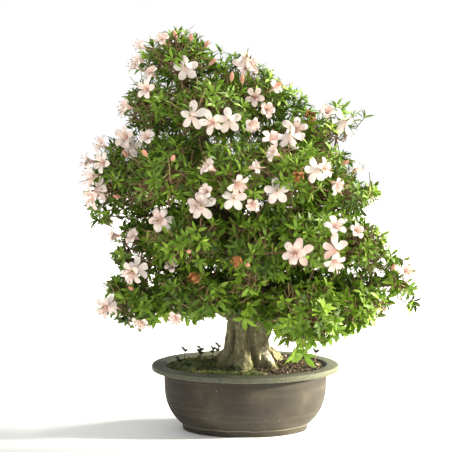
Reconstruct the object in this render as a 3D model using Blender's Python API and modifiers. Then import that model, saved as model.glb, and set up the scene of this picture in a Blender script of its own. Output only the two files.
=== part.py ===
"""A flowering azalea bonsai in an oval stoneware pot. Metres, +Z up, standing on z = 0.

The pot, its drainage pieces, the soil and the moss are built from the pot's own sizes. The wood is one
grown piece: trunk, surface roots and one limb to each mass of leaves. Each mass of leaves is a plain
closed pad with the true outer shape. Flat faces part it from its neighbours, and it is cut where wood
passes through it. The large open flowers sit just off the pads.
"""

import math

import bmesh
import bpy
from mathutils import Matrix, Vector, noise
from mathutils.bvhtree import BVHTree

# Pot, over its rim
POT_LENGTH = 0.300
POT_WIDTH = 0.218
POT_HEIGHT = 0.106
LIP_OVERHANG = 0.0195
LIP_THICKNESS = 0.009
LIP_ROUND = 0.002
LIP_FLARE = 0.007  # how far the inside edge opens out below the lip's top
WALL = 0.008
FLOOR = 0.010
FOOT_HEIGHT = 0.011
FOOT_LENGTH = 0.200
FOOT_SLOPE = 0.0035
FOOT_RING = 0.008
FOOT_RECESS = 0.006
BELLY_POWER = 3.7  # higher brings the body out to its full width sooner above the foot
POT_STEPS = 36

# Drainage
DRAIN_RADIUS = 0.009
DRAIN_SPREAD = 0.045  # from the pot's middle to each hole
SCREEN_SIDE = 0.034
SCREEN_THICKNESS = 0.0012
SCREEN_HOLES = 4
SCREEN_HOLE = 0.0055
SCREEN_PITCH = 0.008
WIRE_RADIUS = 0.0006
GRIT_DEPTH = 0.012

# Soil and what grows on it
SOIL_BELOW_RIM = 0.0035
MOUND_HEIGHT = 0.009
MOUND_MARGIN = 0.0117  # the level border between the mound and the soil's edge
MOUND_STEPS = 4
MOSS_LIFT = 0.0006
MOSS_EDGE = 0.0004
MOSS_RAGGED = 0.10  # how far a cushion's outline wanders, as a share of its half sizes

# Wood
TRUNK_SIDES = 4  # a curve's bevel resolution: 12 sides
LIMB_SIDES = 1  # 6 sides
LIMB_RADIUS = 0.0085
LIMB_TIP_RADIUS = 0.0032
LIMB_STEPS = 4
LIMB_LOWEST = 0.062  # the trunk is bare below this height above the soil
LIMB_DROP = 0.011
LIMB_RISE = 0.42  # how far a limb climbs for the way it goes out
LIMB_BOW = 0.16
ROOT_RADIUS = 0.020
TREE_HEIGHT = 0.632  # from the surface the pot stands on to the top of the leaves
CROWN_LENGTH = 0.514
CROWN_DEPTH = 0.350

# Leaves and flowers
PAD_GAP = 0.0008
PAD_LUMP = 0.006
PAD_LUMP_SPACING = 0.045
FLOWER_RADIUS = 0.021
FLOWER_DEPTH = 0.017
FLOWER_LOBES = 5
FLOWER_LOBE_DEPTH = 0.16  # how far in the rim comes between lobes, each way, as a share of the radius
PETAL_THICKNESS = 0.0011

GAP = 0.0004  # left between pieces that touch

SPROUT_STEM = 0.0007
SPROUT_LEAN = 0.002
SPROUT_FOOT = 0.006  # how far above the soil it starts: over the moss
SPROUT_LEAF = (0.0042, 0.0034, 0.0008)

# The origin is under the middle of the whole tree's box, and the pot stands a little to one side of it.
POT_CENTRE = Vector((-0.0125, 0.0, 0.0))

# How far the oval is drawn apart along its length from a round of the same width
DRAWN = (POT_LENGTH - POT_WIDTH) / 2
LIP_HALF = POT_WIDTH / 2
BODY_TOP_HALF = LIP_HALF - LIP_OVERHANG
FOOT_BOTTOM_HALF = FOOT_LENGTH / 2 - DRAWN
FOOT_TOP_HALF = FOOT_BOTTOM_HALF + FOOT_SLOPE
LIP_BOTTOM = POT_HEIGHT - LIP_THICKNESS
FLOOR_BOTTOM = FOOT_RECESS
FLOOR_TOP = FOOT_RECESS + FLOOR
HUB = 0.012  # half-width of the flat that closes the middle of a turned oval

# The crown was drawn at these sizes, and is stretched to the ones above.
DRAWN_CROWN = Vector((0.514, 0.350, 0.522))
SOIL_LEVEL = POT_HEIGHT + 0.004
STRETCH = Vector((
    CROWN_LENGTH / DRAWN_CROWN.x,
    CROWN_DEPTH / DRAWN_CROWN.y,
    (TREE_HEIGHT - SOIL_LEVEL) / DRAWN_CROWN.z,
))

# Each mass of leaves: name, centre and half sizes in millimetres. x runs right and y runs back from the
# pot's middle, and z runs up from the soil.
PADS = (
    ("leaves_apex", (-107, 5, 478), (57, 56, 44)),
    ("leaves_crown_left", (-134, -10, 406), (55, 62, 44)),
    ("leaves_crown_front", (-52, -70, 396), (62, 56, 50)),
    ("leaves_crown_right", (14, -8, 428), (64, 62, 47)),
    ("leaves_crown_back", (-50, 82, 408), (70, 58, 48)),
    ("leaves_shoulder_right", (120, -8, 344), (62, 64, 43)),
    ("leaves_left_upper", (-180, 0, 293), (64, 68, 58)),
    ("leaves_left_front", (-115, -90, 306), (62, 62, 50)),
    ("leaves_middle_front", (-25, -112, 306), (62, 60, 52)),
    ("leaves_right_front", (65, -95, 306), (60, 62, 52)),
    ("leaves_right_upper", (145, -10, 268), (64, 68, 44)),
    ("leaves_back_right", (80, 98, 322), (80, 66, 56)),
    ("leaves_back_left", (-105, 100, 312), (75, 62, 54)),
    ("leaves_left_lower", (-152, -10, 172), (54, 66, 46)),
    ("leaves_left_bottom", (-160, -20, 104), (66, 66, 42)),
    ("leaves_lower_front_left", (-80, -95, 206), (60, 58, 50)),
    ("leaves_bottom_front_left", (-75, -85, 124), (58, 56, 42)),
    ("leaves_lower_front_middle", (8, -105, 188), (56, 58, 60)),
    ("leaves_lower_front_right", (85, -95, 206), (62, 60, 50)),
    ("leaves_right_middle", (165, -5, 186), (58, 68, 44)),
    ("leaves_bottom_front_right", (86, -80, 94), (58, 58, 48)),
    ("leaves_right_bottom", (166, -10, 100), (66, 66, 48)),
    ("leaves_right_tip", (240, -10, 126), (30, 38, 24)),
    ("leaves_low_back_right", (75, 100, 200), (85, 64, 56)),
    ("leaves_low_back_left", (-85, 100, 196), (85, 62, 56)),
)

# The trunk's middle line and half thickness, in millimetres, with z up from the soil
TRUNK = (
    (4, 2, -32, 40),
    (4, 2, -6, 43),
    (3, 0, 14, 36),
    (3, 0, 36, 33.5),
    (7, 0, 66, 35),
    (9, 2, 100, 34),
    (2, 4, 150, 29),
    (-16, 4, 210, 23),
    (-42, 2, 275, 18),
    (-68, 4, 340, 13),
    (-88, 5, 400, 9),
    (-99, 5, 452, 5),
)
# Surface roots: their directions in degrees round from +X, and the rows along each: how far out as a share
# of the way to the pot's wall, height from the soil in metres, and thickness as a share of ROOT_RADIUS.
ROOTS = (10, 62, 118, 172, 214, 262, 318)
ROOT_ROWS = (
    (0.15, 0.018, 1.0),
    (0.44, 0.004, 0.7),
    (0.66, -0.008, 0.45),
    (0.83, -0.022, 0.25),
)

# Open flowers: name, x and z in millimetres as for the leaves, side of the tree (-1 is the front), and the
# way it faces: degrees round from the side named, and degrees up.
FLOWERS = (
    ("flower_top_left", -92, 463, -1, -5, 25),
    ("flower_top_right", -2, 468, -1, 20, 45),
    ("flower_crown_front", -80, 389, -1, -3, 12),
    ("flower_crown_middle", -27, 384, -1, 0, 12),
    ("flower_crown_right", 62, 354, -1, 5, 35),
    ("flower_shoulder", 146, 376, -1, 35, 20),
    ("flower_upper_left", -178, 342, -1, -25, 10),
    ("flower_middle_right", 43, 281, -1, 5, 14),
    ("flower_middle", -20, 272, -1, 0, 14),
    ("flower_middle_left", -67, 251, -1, -5, 0),
    ("flower_left", -122, 234, -1, -20, -5),
    ("flower_left_side", -221, 277, -1, -60, 5),
    ("flower_right_upper", 97, 311, -1, 20, 10),
    ("flower_right", 124, 196, -1, 25, 5),
    ("flower_low_middle", 73, 191, -1, 20, 0),
    ("flower_low_left", -163, 160, -1, -35, -5),
    ("flower_bottom_left", -203, 102, -1, -65, -8),
    ("flower_back_top", -40, 410, 1, 0, 25),
    ("flower_back_left", -110, 290, 1, -20, 10),
    ("flower_back_right", 90, 240, 1, 15, 0),
)
FLOWER_STEP = 0.001  # how far a flower is drawn outwards at a time until it is clear of the leaves
FLOWER_STEPS = 90
FLOWER_LEAN = 0.3  # how far it turns towards the way the leaves behind it face


def clear_scene():
    for obj in list(bpy.data.objects):
        bpy.data.objects.remove(obj)


def material(name, colour, roughness):
    """A plain Principled finish of this colour."""
    made = bpy.data.materials.new(name)
    made.use_nodes = True
    shader = made.node_tree.nodes["Principled BSDF"]
    shader.inputs["Base Color"].default_value = (*colour, 1)
    shader.inputs["Roughness"].default_value = roughness
    return made


clear_scene()
BONSAI = bpy.data.collections.new("bonsai")
CUTTERS = bpy.data.collections.new("cutters")
bpy.context.scene.collection.children.link(BONSAI)
bpy.context.scene.collection.children.link(CUTTERS)
CUTTERS.hide_render = True

ORIGIN = bpy.data.objects.new("pot_centre", None)
ORIGIN.location = POT_CENTRE
BONSAI.objects.link(ORIGIN)

STONEWARE = material("stoneware", (0.145, 0.125, 0.092), 0.75)
PLASTIC = material("screen_plastic", (0.020, 0.020, 0.020), 0.5)
WIRE = material("aluminium_wire", (0.30, 0.22, 0.15), 0.4)
GRIT = material("pumice_grit", (0.40, 0.37, 0.30), 0.9)
SOIL = material("soil", (0.055, 0.036, 0.020), 0.95)
MOSS = material("moss", (0.050, 0.085, 0.018), 0.95)
CHIPS = material("bark_chips", (0.110, 0.065, 0.040), 0.9)
BARK = material("bark", (0.160, 0.140, 0.095), 0.85)
LEAF = material("azalea_leaf", (0.085, 0.210, 0.025), 0.5)
PETAL = material("azalea_petal", (0.85, 0.70, 0.64), 0.6)
SPROUT = material("seedling", (0.060, 0.110, 0.025), 0.6)


def add_object(name, mesh, finish):
    """The mesh as one piece of the bonsai, placed from the middle of the pot's foot."""
    obj = bpy.data.objects.new(name, mesh)
    mesh.materials.clear()
    mesh.materials.append(finish)
    obj.parent = ORIGIN
    BONSAI.objects.link(obj)
    return obj


def make_cutter(name, mesh):
    obj = bpy.data.objects.new(name, mesh)
    obj.parent = ORIGIN
    obj.hide_render = True
    obj.display_type = "WIRE"
    CUTTERS.objects.link(obj)
    return obj


def cut(obj, cutter, solver="EXACT"):
    modifier = obj.modifiers.new(cutter.name, "BOOLEAN")
    modifier.operation = "DIFFERENCE"
    modifier.object = cutter
    modifier.solver = solver


def evaluated_mesh(obj):
    """A new mesh of the object as its modifiers leave it."""
    bpy.context.view_layer.update()
    graph = bpy.context.evaluated_depsgraph_get()
    return bpy.data.meshes.new_from_object(obj.evaluated_get(graph))


def welded(mesh):
    """The mesh with its caps and seams welded."""
    shape = bmesh.new()
    shape.from_mesh(mesh)
    bmesh.ops.remove_doubles(shape, verts=shape.verts, dist=1e-6)
    shape.to_mesh(mesh)
    shape.free()
    return mesh


def mesh_of(shape, name):
    mesh = bpy.data.meshes.new(name)
    shape.to_mesh(mesh)
    shape.free()
    return mesh


def turned(name, profile, steps, drawn=0.0):
    """A solid turned from (half-width, height) points, which run down its outer side.

    Drawing moves every point out along X by the same distance, so an oval's wall stays as thick at its
    ends as at its sides. Open ends of the profile are closed with flats.
    """
    outline = bpy.data.meshes.new(name)
    points = [(half, 0, z) for half, z in profile]
    outline.from_pydata(points, [(i, i + 1) for i in range(len(points) - 1)], [])
    turning = bpy.data.objects.new(name, outline)
    bpy.context.scene.collection.objects.link(turning)
    screw = turning.modifiers.new("turn", "SCREW")
    screw.steps = steps
    screw.render_steps = steps
    screw.use_merge_vertices = True
    screw.merge_threshold = 1e-5
    mesh = welded(evaluated_mesh(turning))
    bpy.data.objects.remove(turning)
    shape = bmesh.new()
    shape.from_mesh(mesh)
    for vertex in shape.verts:
        half = math.hypot(vertex.co.x, vertex.co.y)
        if half > 1e-6:
            vertex.co.x *= (half + drawn) / half
    bmesh.ops.holes_fill(shape, edges=[edge for edge in shape.edges if edge.is_boundary])
    bmesh.ops.recalc_face_normals(shape, faces=shape.faces)
    shape.to_mesh(mesh)
    shape.free()
    return mesh


def smooth(mesh, degrees=40):
    mesh.shade_smooth()
    mesh.set_sharp_from_angle(angle=math.radians(degrees))


def tube(name, path, sides, extra=0.0):
    """A tapering tube along (x, y, z, radius) points, grown all round and at its ends by extra."""
    data = bpy.data.curves.new(name, "CURVE")
    data.dimensions = "3D"
    data.bevel_depth = 1.0
    data.bevel_resolution = sides
    data.use_fill_caps = True
    line = data.splines.new("POLY")
    line.points.add(len(path) - 1)
    places = [Vector(point[:3]) for point in path]
    places[0] += (places[0] - places[1]).normalized() * extra
    places[-1] += (places[-1] - places[-2]).normalized() * extra
    for point, place, row in zip(line.points, places, path):
        point.co = (*place, 1)
        point.radius = row[3] + extra
    curve = bpy.data.objects.new(name, data)
    bpy.context.scene.collection.objects.link(curve)
    mesh = welded(evaluated_mesh(curve))
    bpy.data.objects.remove(curve)
    return mesh


def joined(name, meshes):
    """The Boolean union of these closed meshes."""
    helpers = []
    for index, mesh in enumerate(meshes):
        helper = bpy.data.objects.new(f"{name}_{index}", mesh)
        bpy.context.scene.collection.objects.link(helper)
        helpers.append(helper)
    for helper in helpers[1:]:
        union = helpers[0].modifiers.new(helper.name, "BOOLEAN")
        union.operation = "UNION"
        union.object = helper
        union.solver = "MANIFOLD"  # over this many limbs that meet in one trunk, EXACT leaves open edges
    mesh = evaluated_mesh(helpers[0])
    for helper in helpers:
        bpy.data.objects.remove(helper)
    mesh.name = name
    return mesh


# The pot


def body_stations():
    """(height, half-width) up the outside of the body, from the foot to the underside of the lip."""
    stations = []
    count = 7
    for index in range(count + 1):
        share = (index / count) ** 1.4
        out = 1 - (1 - share) ** BELLY_POWER
        half = FOOT_TOP_HALF + (BODY_TOP_HALF - FOOT_TOP_HALF) * out
        stations.append((FOOT_HEIGHT + (LIP_BOTTOM - FOOT_HEIGHT) * share, half))
    return stations


def body_half(height):
    """The body's outside half-width at a height, read along the straight runs between stations."""
    stations = body_stations()
    for (low, low_half), (high, high_half) in zip(stations, stations[1:]):
        if height <= high:
            share = (height - low) / (high - low)
            return low_half + (high_half - low_half) * share
    return BODY_TOP_HALF


def inside_wall(low, high, gap=0.0):
    """(half-width, height) points up the inside of the wall between two heights, gap in from it."""
    heights = [low, *(z for z, _ in body_stations() if low < z < high), high]
    return [(body_half(z) - WALL - gap, z) for z in heights]


def pot_profile():
    inner_top = BODY_TOP_HALF - WALL
    outside = [(half, z) for z, half in reversed(body_stations())]
    return [
        (HUB, FLOOR_TOP),
        *inside_wall(FLOOR_TOP, LIP_BOTTOM),
        (inner_top + LIP_FLARE, POT_HEIGHT - LIP_ROUND),
        (inner_top + LIP_FLARE + LIP_ROUND, POT_HEIGHT),
        (LIP_HALF - LIP_ROUND, POT_HEIGHT),
        (LIP_HALF, POT_HEIGHT - LIP_ROUND),
        (LIP_HALF, LIP_BOTTOM + LIP_ROUND),
        (LIP_HALF - LIP_ROUND, LIP_BOTTOM),
        *outside,
        (FOOT_BOTTOM_HALF, 0),
        (FOOT_BOTTOM_HALF - FOOT_RING, 0),
        (FOOT_BOTTOM_HALF - FOOT_RING, FLOOR_BOTTOM),
        (HUB, FLOOR_BOTTOM),
    ]


def cylinder(radius, low, high, x):
    shape = bmesh.new()
    bmesh.ops.create_cone(
        shape, cap_ends=True, segments=24, radius1=radius, radius2=radius, depth=high - low
    )
    bmesh.ops.translate(shape, verts=shape.verts, vec=(x, 0, (low + high) / 2))
    return mesh_of(shape, "cylinder")


def box(size, centre, name="box"):
    shape = bmesh.new()
    bmesh.ops.create_cube(shape, size=1)
    bmesh.ops.scale(shape, verts=shape.verts, vec=size)
    bmesh.ops.translate(shape, verts=shape.verts, vec=centre)
    return mesh_of(shape, name)


def add_pot():
    mesh = turned("pot", pot_profile(), POT_STEPS, DRAWN)
    smooth(mesh, 25)
    pot = add_object("pot", mesh, STONEWARE)
    for side in (-1, 1):
        hole = cylinder(DRAIN_RADIUS, 0, FLOOR_TOP + FLOOR, side * DRAIN_SPREAD)
        cut(pot, make_cutter(f"drain_hole_{side}", hole))


# Drainage: a plastic screen over each hole, held by a wire staple, under a layer of grit

SCREEN_BOTTOM = FLOOR_TOP + GAP
SCREEN_TOP = SCREEN_BOTTOM + SCREEN_THICKNESS
CLIP_TOP = SCREEN_TOP + GAP + WIRE_RADIUS
CLIP_TAIL = 0.006


def add_screen(name, x):
    middle = (x, 0, SCREEN_BOTTOM + SCREEN_THICKNESS / 2)
    screen = add_object(name, box((SCREEN_SIDE, SCREEN_SIDE, SCREEN_THICKNESS), middle), PLASTIC)
    holes = bmesh.new()
    offsets = [(index - (SCREEN_HOLES - 1) / 2) * SCREEN_PITCH for index in range(SCREEN_HOLES)]
    for across in offsets:
        for along in offsets:
            made = bmesh.ops.create_cube(holes, size=SCREEN_HOLE)["verts"]
            bmesh.ops.translate(holes, verts=made, vec=(x + across, along, middle[2]))
    cut(screen, make_cutter(f"{name}_holes", mesh_of(holes, name)))


def add_clip(name, x):
    """A staple of bent wire: over the screen, down through it and the hole, and out under the floor."""
    leg = SCREEN_PITCH / 2
    under = FLOOR_BOTTOM - GAP - WIRE_RADIUS
    bend = 3 * WIRE_RADIUS
    half = [
        (leg - bend, CLIP_TOP),
        (leg, CLIP_TOP - bend),
        (leg, under + bend),
        (leg + bend, under),
        (DRAIN_RADIUS + CLIP_TAIL, under),
    ]
    row = SCREEN_PITCH / 2
    path = [(x - out, row, z, WIRE_RADIUS) for out, z in reversed(half)]
    path += [(x + out, row, z, WIRE_RADIUS) for out, z in half]
    add_object(name, tube(name, path, 1), WIRE)


def add_grit():
    top = FLOOR_TOP + GRIT_DEPTH
    profile = [(HUB, top)]
    profile += reversed(inside_wall(FLOOR_TOP + GAP, top, GAP))
    profile += [(HUB, FLOOR_TOP + GAP)]
    grit = add_object("drainage_grit", turned("drainage_grit", profile, POT_STEPS, DRAWN), GRIT)
    side = SCREEN_SIDE + 4 * GAP
    high = CLIP_TOP + WIRE_RADIUS + 2 * GAP
    low = FLOOR_TOP - GAP
    for sign in (-1, 1):
        pocket = box((side, side, high - low), (sign * DRAIN_SPREAD, 0, (low + high) / 2))
        cut(grit, make_cutter(f"screen_pocket_{sign}", pocket))


# Soil, moss and chips

SOIL_EDGE_HALF = BODY_TOP_HALF - WALL + LIP_FLARE * 0.8 - GAP
SOIL_EDGE_TOP = POT_HEIGHT - SOIL_BELOW_RIM
MOUND_REACH = SOIL_EDGE_HALF - MOUND_MARGIN


def mound_rings():
    """(half-width, height) down the mound: level in the middle and at the rim."""
    rings = []
    for step in range(MOUND_STEPS + 1):
        half = HUB + (MOUND_REACH - HUB) * step / MOUND_STEPS
        swell = 0.5 + 0.5 * math.cos(math.pi * half / MOUND_REACH)
        rings.append((half, SOIL_EDGE_TOP + MOUND_HEIGHT * swell))
    return rings


def oval_half(x, y):
    """The half-width of the drawn oval that passes through a place."""
    low, high = 1e-4, POT_LENGTH
    for _ in range(30):
        half = (low + high) / 2
        if (x / (half + DRAWN)) ** 2 + (y / half) ** 2 > 1:
            low = half
        else:
            high = half
    return low


def soil_top(x, y):
    """The soil's height, read along the straight runs between the mound's rings."""
    half = oval_half(x, y)
    rings = mound_rings()
    for (near, near_top), (far, far_top) in zip(rings, rings[1:]):
        if half <= far:
            share = max(0, (half - near) / (far - near))
            return near_top + (far_top - near_top) * share
    return SOIL_EDGE_TOP


def soil_profile():
    low = FLOOR_TOP + GRIT_DEPTH + GAP
    profile = mound_rings() + [(SOIL_EDGE_HALF - GAP, SOIL_EDGE_TOP)]
    profile += reversed(inside_wall(low, LIP_BOTTOM - GAP, GAP))
    return profile + [(HUB, low)]


def add_soil(wood_room):
    soil = add_object("soil", turned("soil", soil_profile(), POT_STEPS, DRAWN), SOIL)
    cut(soil, wood_room, "MANIFOLD")  # EXACT leaves doubled faces where the roots run out under the soil


def soil_place(across, along):
    """A place on the soil, given as shares of its half length and half width."""
    return Vector((across * (SOIL_EDGE_HALF + DRAWN), along * SOIL_EDGE_HALF))


def add_mat(wood_room, name, centre, half_shares, thickness, turn, finish):
    """A low cushion on the soil: flat against it below, domed above, thin at its edge, cut by the roots."""
    middle = soil_place(*centre)
    half_sizes = soil_place(*half_shares)
    shape = bmesh.new()
    bmesh.ops.create_uvsphere(shape, u_segments=16, v_segments=6, radius=1)
    turned_by = Matrix.Rotation(math.radians(turn), 2)
    for vertex in shape.verts:
        ragged = 1 + MOSS_RAGGED * noise.noise(vertex.co * 1.7 + Vector((middle.x * 40, 0, 0)))
        flat = turned_by @ Vector((vertex.co.x * half_sizes.x, vertex.co.y * half_sizes.y)) * ragged
        place = middle + flat
        lift = MOSS_LIFT
        if vertex.co.z > -1e-6:
            lift += thickness * vertex.co.z + MOSS_EDGE * (1 - vertex.co.z)
        vertex.co = Vector((*place, soil_top(*place) + lift))
    cut(add_object(name, mesh_of(shape, name), finish), wood_room)


# Wood


def crown_place(x, y, z):
    """A place given in millimetres from the pot's middle and up from the soil, in metres."""
    return Vector((x * STRETCH.x, y * STRETCH.y, z * STRETCH.z)) / 1000 + Vector((0, 0, SOIL_LEVEL))


def trunk_path():
    """The trunk's middle line as (x, y, z, radius) in metres."""
    return [Vector((*crown_place(x, y, z), radius / 1000)) for x, y, z, radius in TRUNK]


def trunk_at(height):
    """The trunk's middle line at a height."""
    path = trunk_path()
    for low, high in zip(path, path[1:]):
        if height <= high.z:
            return low.lerp(high, (height - low.z) / (high.z - low.z))
    return path[-1]


def root_path(direction):
    """A surface root: out of the trunk's flare and down into the soil."""
    angle = math.radians(direction)
    base = trunk_at(SOIL_LEVEL).xyz
    rows = []
    for share, up, thick in ROOT_ROWS:
        out = share * (BODY_TOP_HALF - WALL)
        place = base + Vector((out * math.cos(angle), out * math.sin(angle), up))
        rows.append(Vector((*place, ROOT_RADIUS * thick)))
    return rows


def limb_path(centre):
    """A limb from the trunk to the middle of a mass of leaves, rising out to it."""
    target = crown_place(*centre)
    away = math.hypot(target.x - trunk_at(target.z).x, target.y)
    start = trunk_at(max(SOIL_LEVEL + LIMB_LOWEST, target.z - LIMB_DROP - LIMB_RISE * away))
    bow = start.xyz.lerp(target, 0.5) + Vector((0, 0, LIMB_BOW * away - LIMB_DROP))
    radius = min(LIMB_RADIUS, 0.75 * start.w)
    rows = []
    for step in range(LIMB_STEPS + 1):
        t = step / LIMB_STEPS
        place = start.xyz * (1 - t) ** 2 + bow * 2 * t * (1 - t) + target * t ** 2
        rows.append(Vector((*place, radius + (LIMB_TIP_RADIUS - radius) * t)))
    return rows


def wood(extra):
    """Trunk, roots and limbs as one grown piece, larger all over by extra."""
    meshes = [tube("trunk", trunk_path(), TRUNK_SIDES, extra)]
    meshes += [tube("root", root_path(direction), LIMB_SIDES, extra) for direction in ROOTS]
    meshes += [tube("limb", limb_path(centre), LIMB_SIDES, extra) for _, centre, _ in PADS]
    return joined("wood", meshes)


# Leaves and flowers


def pad_shape(index):
    """One mass of leaves: a lumpy ellipsoid, with a flat wherever it meets a neighbour."""
    _, centre, half_sizes = PADS[index]
    shape = bmesh.new()
    bmesh.ops.create_uvsphere(shape, u_segments=14, v_segments=9, radius=1)
    middle = crown_place(*centre)
    half = Vector([size * stretch / 1000 for size, stretch in zip(half_sizes, STRETCH)])
    for vertex in shape.verts:
        outward = vertex.co.normalized()
        place = middle + vertex.co * half
        vertex.co = place + outward * PAD_LUMP * noise.noise(place / PAD_LUMP_SPACING)
    for other, (_, other_centre, other_half) in enumerate(PADS):
        if other == index:
            continue
        away = crown_place(*other_centre) - middle
        distance = away.length
        away.normalize()
        reach = support(half_sizes, away) + PAD_LUMP
        other_reach = support(other_half, away) + PAD_LUMP
        if reach + other_reach + PAD_GAP < distance:
            continue
        meet = reach + (distance - reach - other_reach) / 2 - PAD_GAP / 2
        cut_flat(shape, middle + away * meet, away)
    return shape


def support(half_sizes, direction):
    """How far an ellipsoid's tangent plane across this direction is from its middle."""
    sizes = [size * stretch / 1000 for size, stretch in zip(half_sizes, STRETCH)]
    return math.sqrt(sum((size * share) ** 2 for size, share in zip(sizes, direction)))


def cut_flat(shape, point, normal):
    """Takes off what is past the plane and closes the cut."""
    geometry = [*shape.verts, *shape.edges, *shape.faces]
    result = bmesh.ops.bisect_plane(
        shape, geom=geometry, dist=1e-6, plane_co=point, plane_no=normal, clear_outer=True
    )
    edges = [item for item in result["geom_cut"] if isinstance(item, bmesh.types.BMEdge)]
    if edges:
        bmesh.ops.holes_fill(shape, edges=edges)


def flower_mesh():
    """A closed funnel whose rim has five lobes. It opens along +Z, with its base at the origin."""
    throat = FLOWER_DEPTH * 0.45
    profile = [
        (0, throat),
        (FLOWER_RADIUS, FLOWER_DEPTH),
        (FLOWER_RADIUS * 0.97, FLOWER_DEPTH - PETAL_THICKNESS),
        (FLOWER_RADIUS * 0.30, throat),
        (FLOWER_RADIUS * 0.09, 0),
        (0, 0),
    ]
    mesh = turned("flower", profile, 3 * FLOWER_LOBES)
    for vertex in mesh.vertices:
        if math.hypot(vertex.co.x, vertex.co.y) > FLOWER_RADIUS / 2:
            turn = math.atan2(vertex.co.y, vertex.co.x)
            lobe = 1 - FLOWER_LOBE_DEPTH * (1 - math.cos(FLOWER_LOBES * turn))
            vertex.co.x *= lobe
            vertex.co.y *= lobe
    return mesh


def facing(side, turn, up):
    """The direction that is turn degrees round from the front or back, and up degrees up."""
    turn, up = math.radians(turn), math.radians(up)
    return Vector((math.sin(turn) * math.cos(up), side * math.cos(turn) * math.cos(up), math.sin(up)))


def tree_of(shapes):
    """One search tree over all of these shapes."""
    points, faces = [], []
    for shape in shapes:
        first = len(points)
        shape.verts.index_update()
        points += [vertex.co.copy() for vertex in shape.verts]
        faces += [[first + vertex.index for vertex in face.verts] for face in shape.faces]
    return BVHTree.FromPolygons(points, faces)


def flower_seat(leaves, x, z, side, direction):
    """The point of the leaves behind a flower, and the way the leaves face there."""
    start = crown_place(x, side * 1000, z)
    hit, normal, _, _ = leaves.ray_cast(start, Vector((0, -side, 0)))
    if hit is None:  # it stands past the edge of the leaves, so it is seated along the way it faces
        start = crown_place(x, 0, z) + direction * CROWN_LENGTH
        hit, normal, _, _ = leaves.ray_cast(start, -direction)
    if hit is None:
        hit, normal, _, _ = leaves.find_nearest(start)
    return hit, normal


def seat_flower(mesh, leaves, placed, seat, normal, direction):
    """The flower turned to its direction, as close to the leaves as it goes without touching them."""
    face = (direction + FLOWER_LEAN * normal).normalized()
    turn = face.to_track_quat("Z", "Y").to_matrix().to_4x4()
    for step in range(FLOWER_STEPS):
        shape = bmesh.new()
        shape.from_mesh(mesh)
        shape.transform(Matrix.Translation(seat + face * FLOWER_STEP * step) @ turn)
        tree = tree_of([shape])
        near = min(leaves.find_nearest(vertex.co)[3] for vertex in shape.verts)
        clear = near > GAP and not tree.overlap(leaves)
        if clear and not any(tree.overlap(other) for other in placed):
            placed.append(tree)
            return shape
        shape.free()
    raise ValueError("no room for a flower")


def add_crown(wood_room):
    shapes = [pad_shape(index) for index in range(len(PADS))]
    leaves = tree_of(shapes)
    flower = flower_mesh()
    placed = []
    for name, x, z, side, turn, up in FLOWERS:
        direction = facing(side, turn, up)
        seat, normal = flower_seat(leaves, x, z, side, direction)
        shape = seat_flower(flower, leaves, placed, seat, normal, direction)
        add_object(name, mesh_of(shape, name), PETAL)
    for (name, _, _), shape in zip(PADS, shapes):
        bmesh.ops.recalc_face_normals(shape, faces=shape.faces)
        pad = add_object(name, mesh_of(shape, name), LEAF)
        cut(pad, wood_room)


def sprout_leaf(name, middle, turn):
    """One round leaf, thin and nearly flat, that reaches out from the middle."""
    shape = bmesh.new()
    bmesh.ops.create_uvsphere(shape, u_segments=8, v_segments=4, radius=1)
    bmesh.ops.scale(shape, verts=shape.verts, vec=SPROUT_LEAF)
    bmesh.ops.rotate(shape, verts=shape.verts, matrix=Matrix.Rotation(turn, 3, "Z"))
    out = Vector((math.cos(turn), math.sin(turn), 0)) * SPROUT_LEAF[0] * 0.85
    bmesh.ops.translate(shape, verts=shape.verts, vec=middle + out)
    return mesh_of(shape, name)


def add_sprout(name, across, along, height, leaves):
    """A seedling that stands on the moss: a thin stem and a few round leaves."""
    place = soil_place(across, along)
    foot = Vector((*place, soil_top(*place) + SPROUT_FOOT))
    top = foot + Vector((SPROUT_LEAN, 0, height))
    meshes = [tube(name, [Vector((*foot, SPROUT_STEM)), Vector((*top, SPROUT_STEM))], 1)]
    for index in range(leaves):
        turn = math.radians(60 + 360 * index / leaves)
        drop = Vector((0, 0, -0.0012 - 0.0022 * index))
        meshes.append(sprout_leaf(name, top + drop, turn))
    add_object(name, joined(name, meshes), SPROUT)


def build():
    add_pot()
    for label, sign in (("left", -1), ("right", 1)):
        add_screen(f"drain_screen_{label}", sign * DRAIN_SPREAD)
        add_clip(f"screen_clip_{label}", sign * DRAIN_SPREAD)
    add_grit()
    trunk = wood(0.0)
    smooth(trunk, 50)
    add_object("trunk", trunk, BARK)
    wood_room = make_cutter("wood_room", wood(GAP))
    add_soil(wood_room)
    add_mat(wood_room, "moss_left", (-0.72, -0.05), (0.195, 0.49), 0.005, 6, MOSS)
    add_mat(wood_room, "moss_front", (-0.05, -0.825), (0.36, 0.095), 0.004, 0, MOSS)
    add_mat(wood_room, "moss_back", (0.05, 0.81), (0.37, 0.095), 0.004, 0, MOSS)
    add_mat(wood_room, "bark_chips_right", (0.765, 0.02), (0.165, 0.41), 0.003, -5, CHIPS)
    add_crown(wood_room)
    add_sprout("sprout_left", -0.78, 0.23, 0.016, 3)
    add_sprout("sprout_back", -0.59, 0.35, 0.014, 2)
    add_sprout("sprout_right", 0.88, 0.21, 0.015, 3)


build()
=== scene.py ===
# %% [markdown]
# # A flowering azalea bonsai in a stoneware pot
#
# A bonsai is a whole tree kept small: a thick old trunk, twigs that end in whorls of little leaves, flowers
# at the tips, and a low pot with grit, soil and moss in it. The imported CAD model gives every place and
# size. This lesson makes what the eye sees: it turns the pot, carves the bark, and grows the twigs, the
# leaves and the flowers over the plain masses that the CAD model keeps for physics.

import math

import bpy
import numpy as np
from mathutils import Matrix, Vector, noise
from mathutils.bvhtree import BVHTree
from mathutils.kdtree import KDTree


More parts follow.
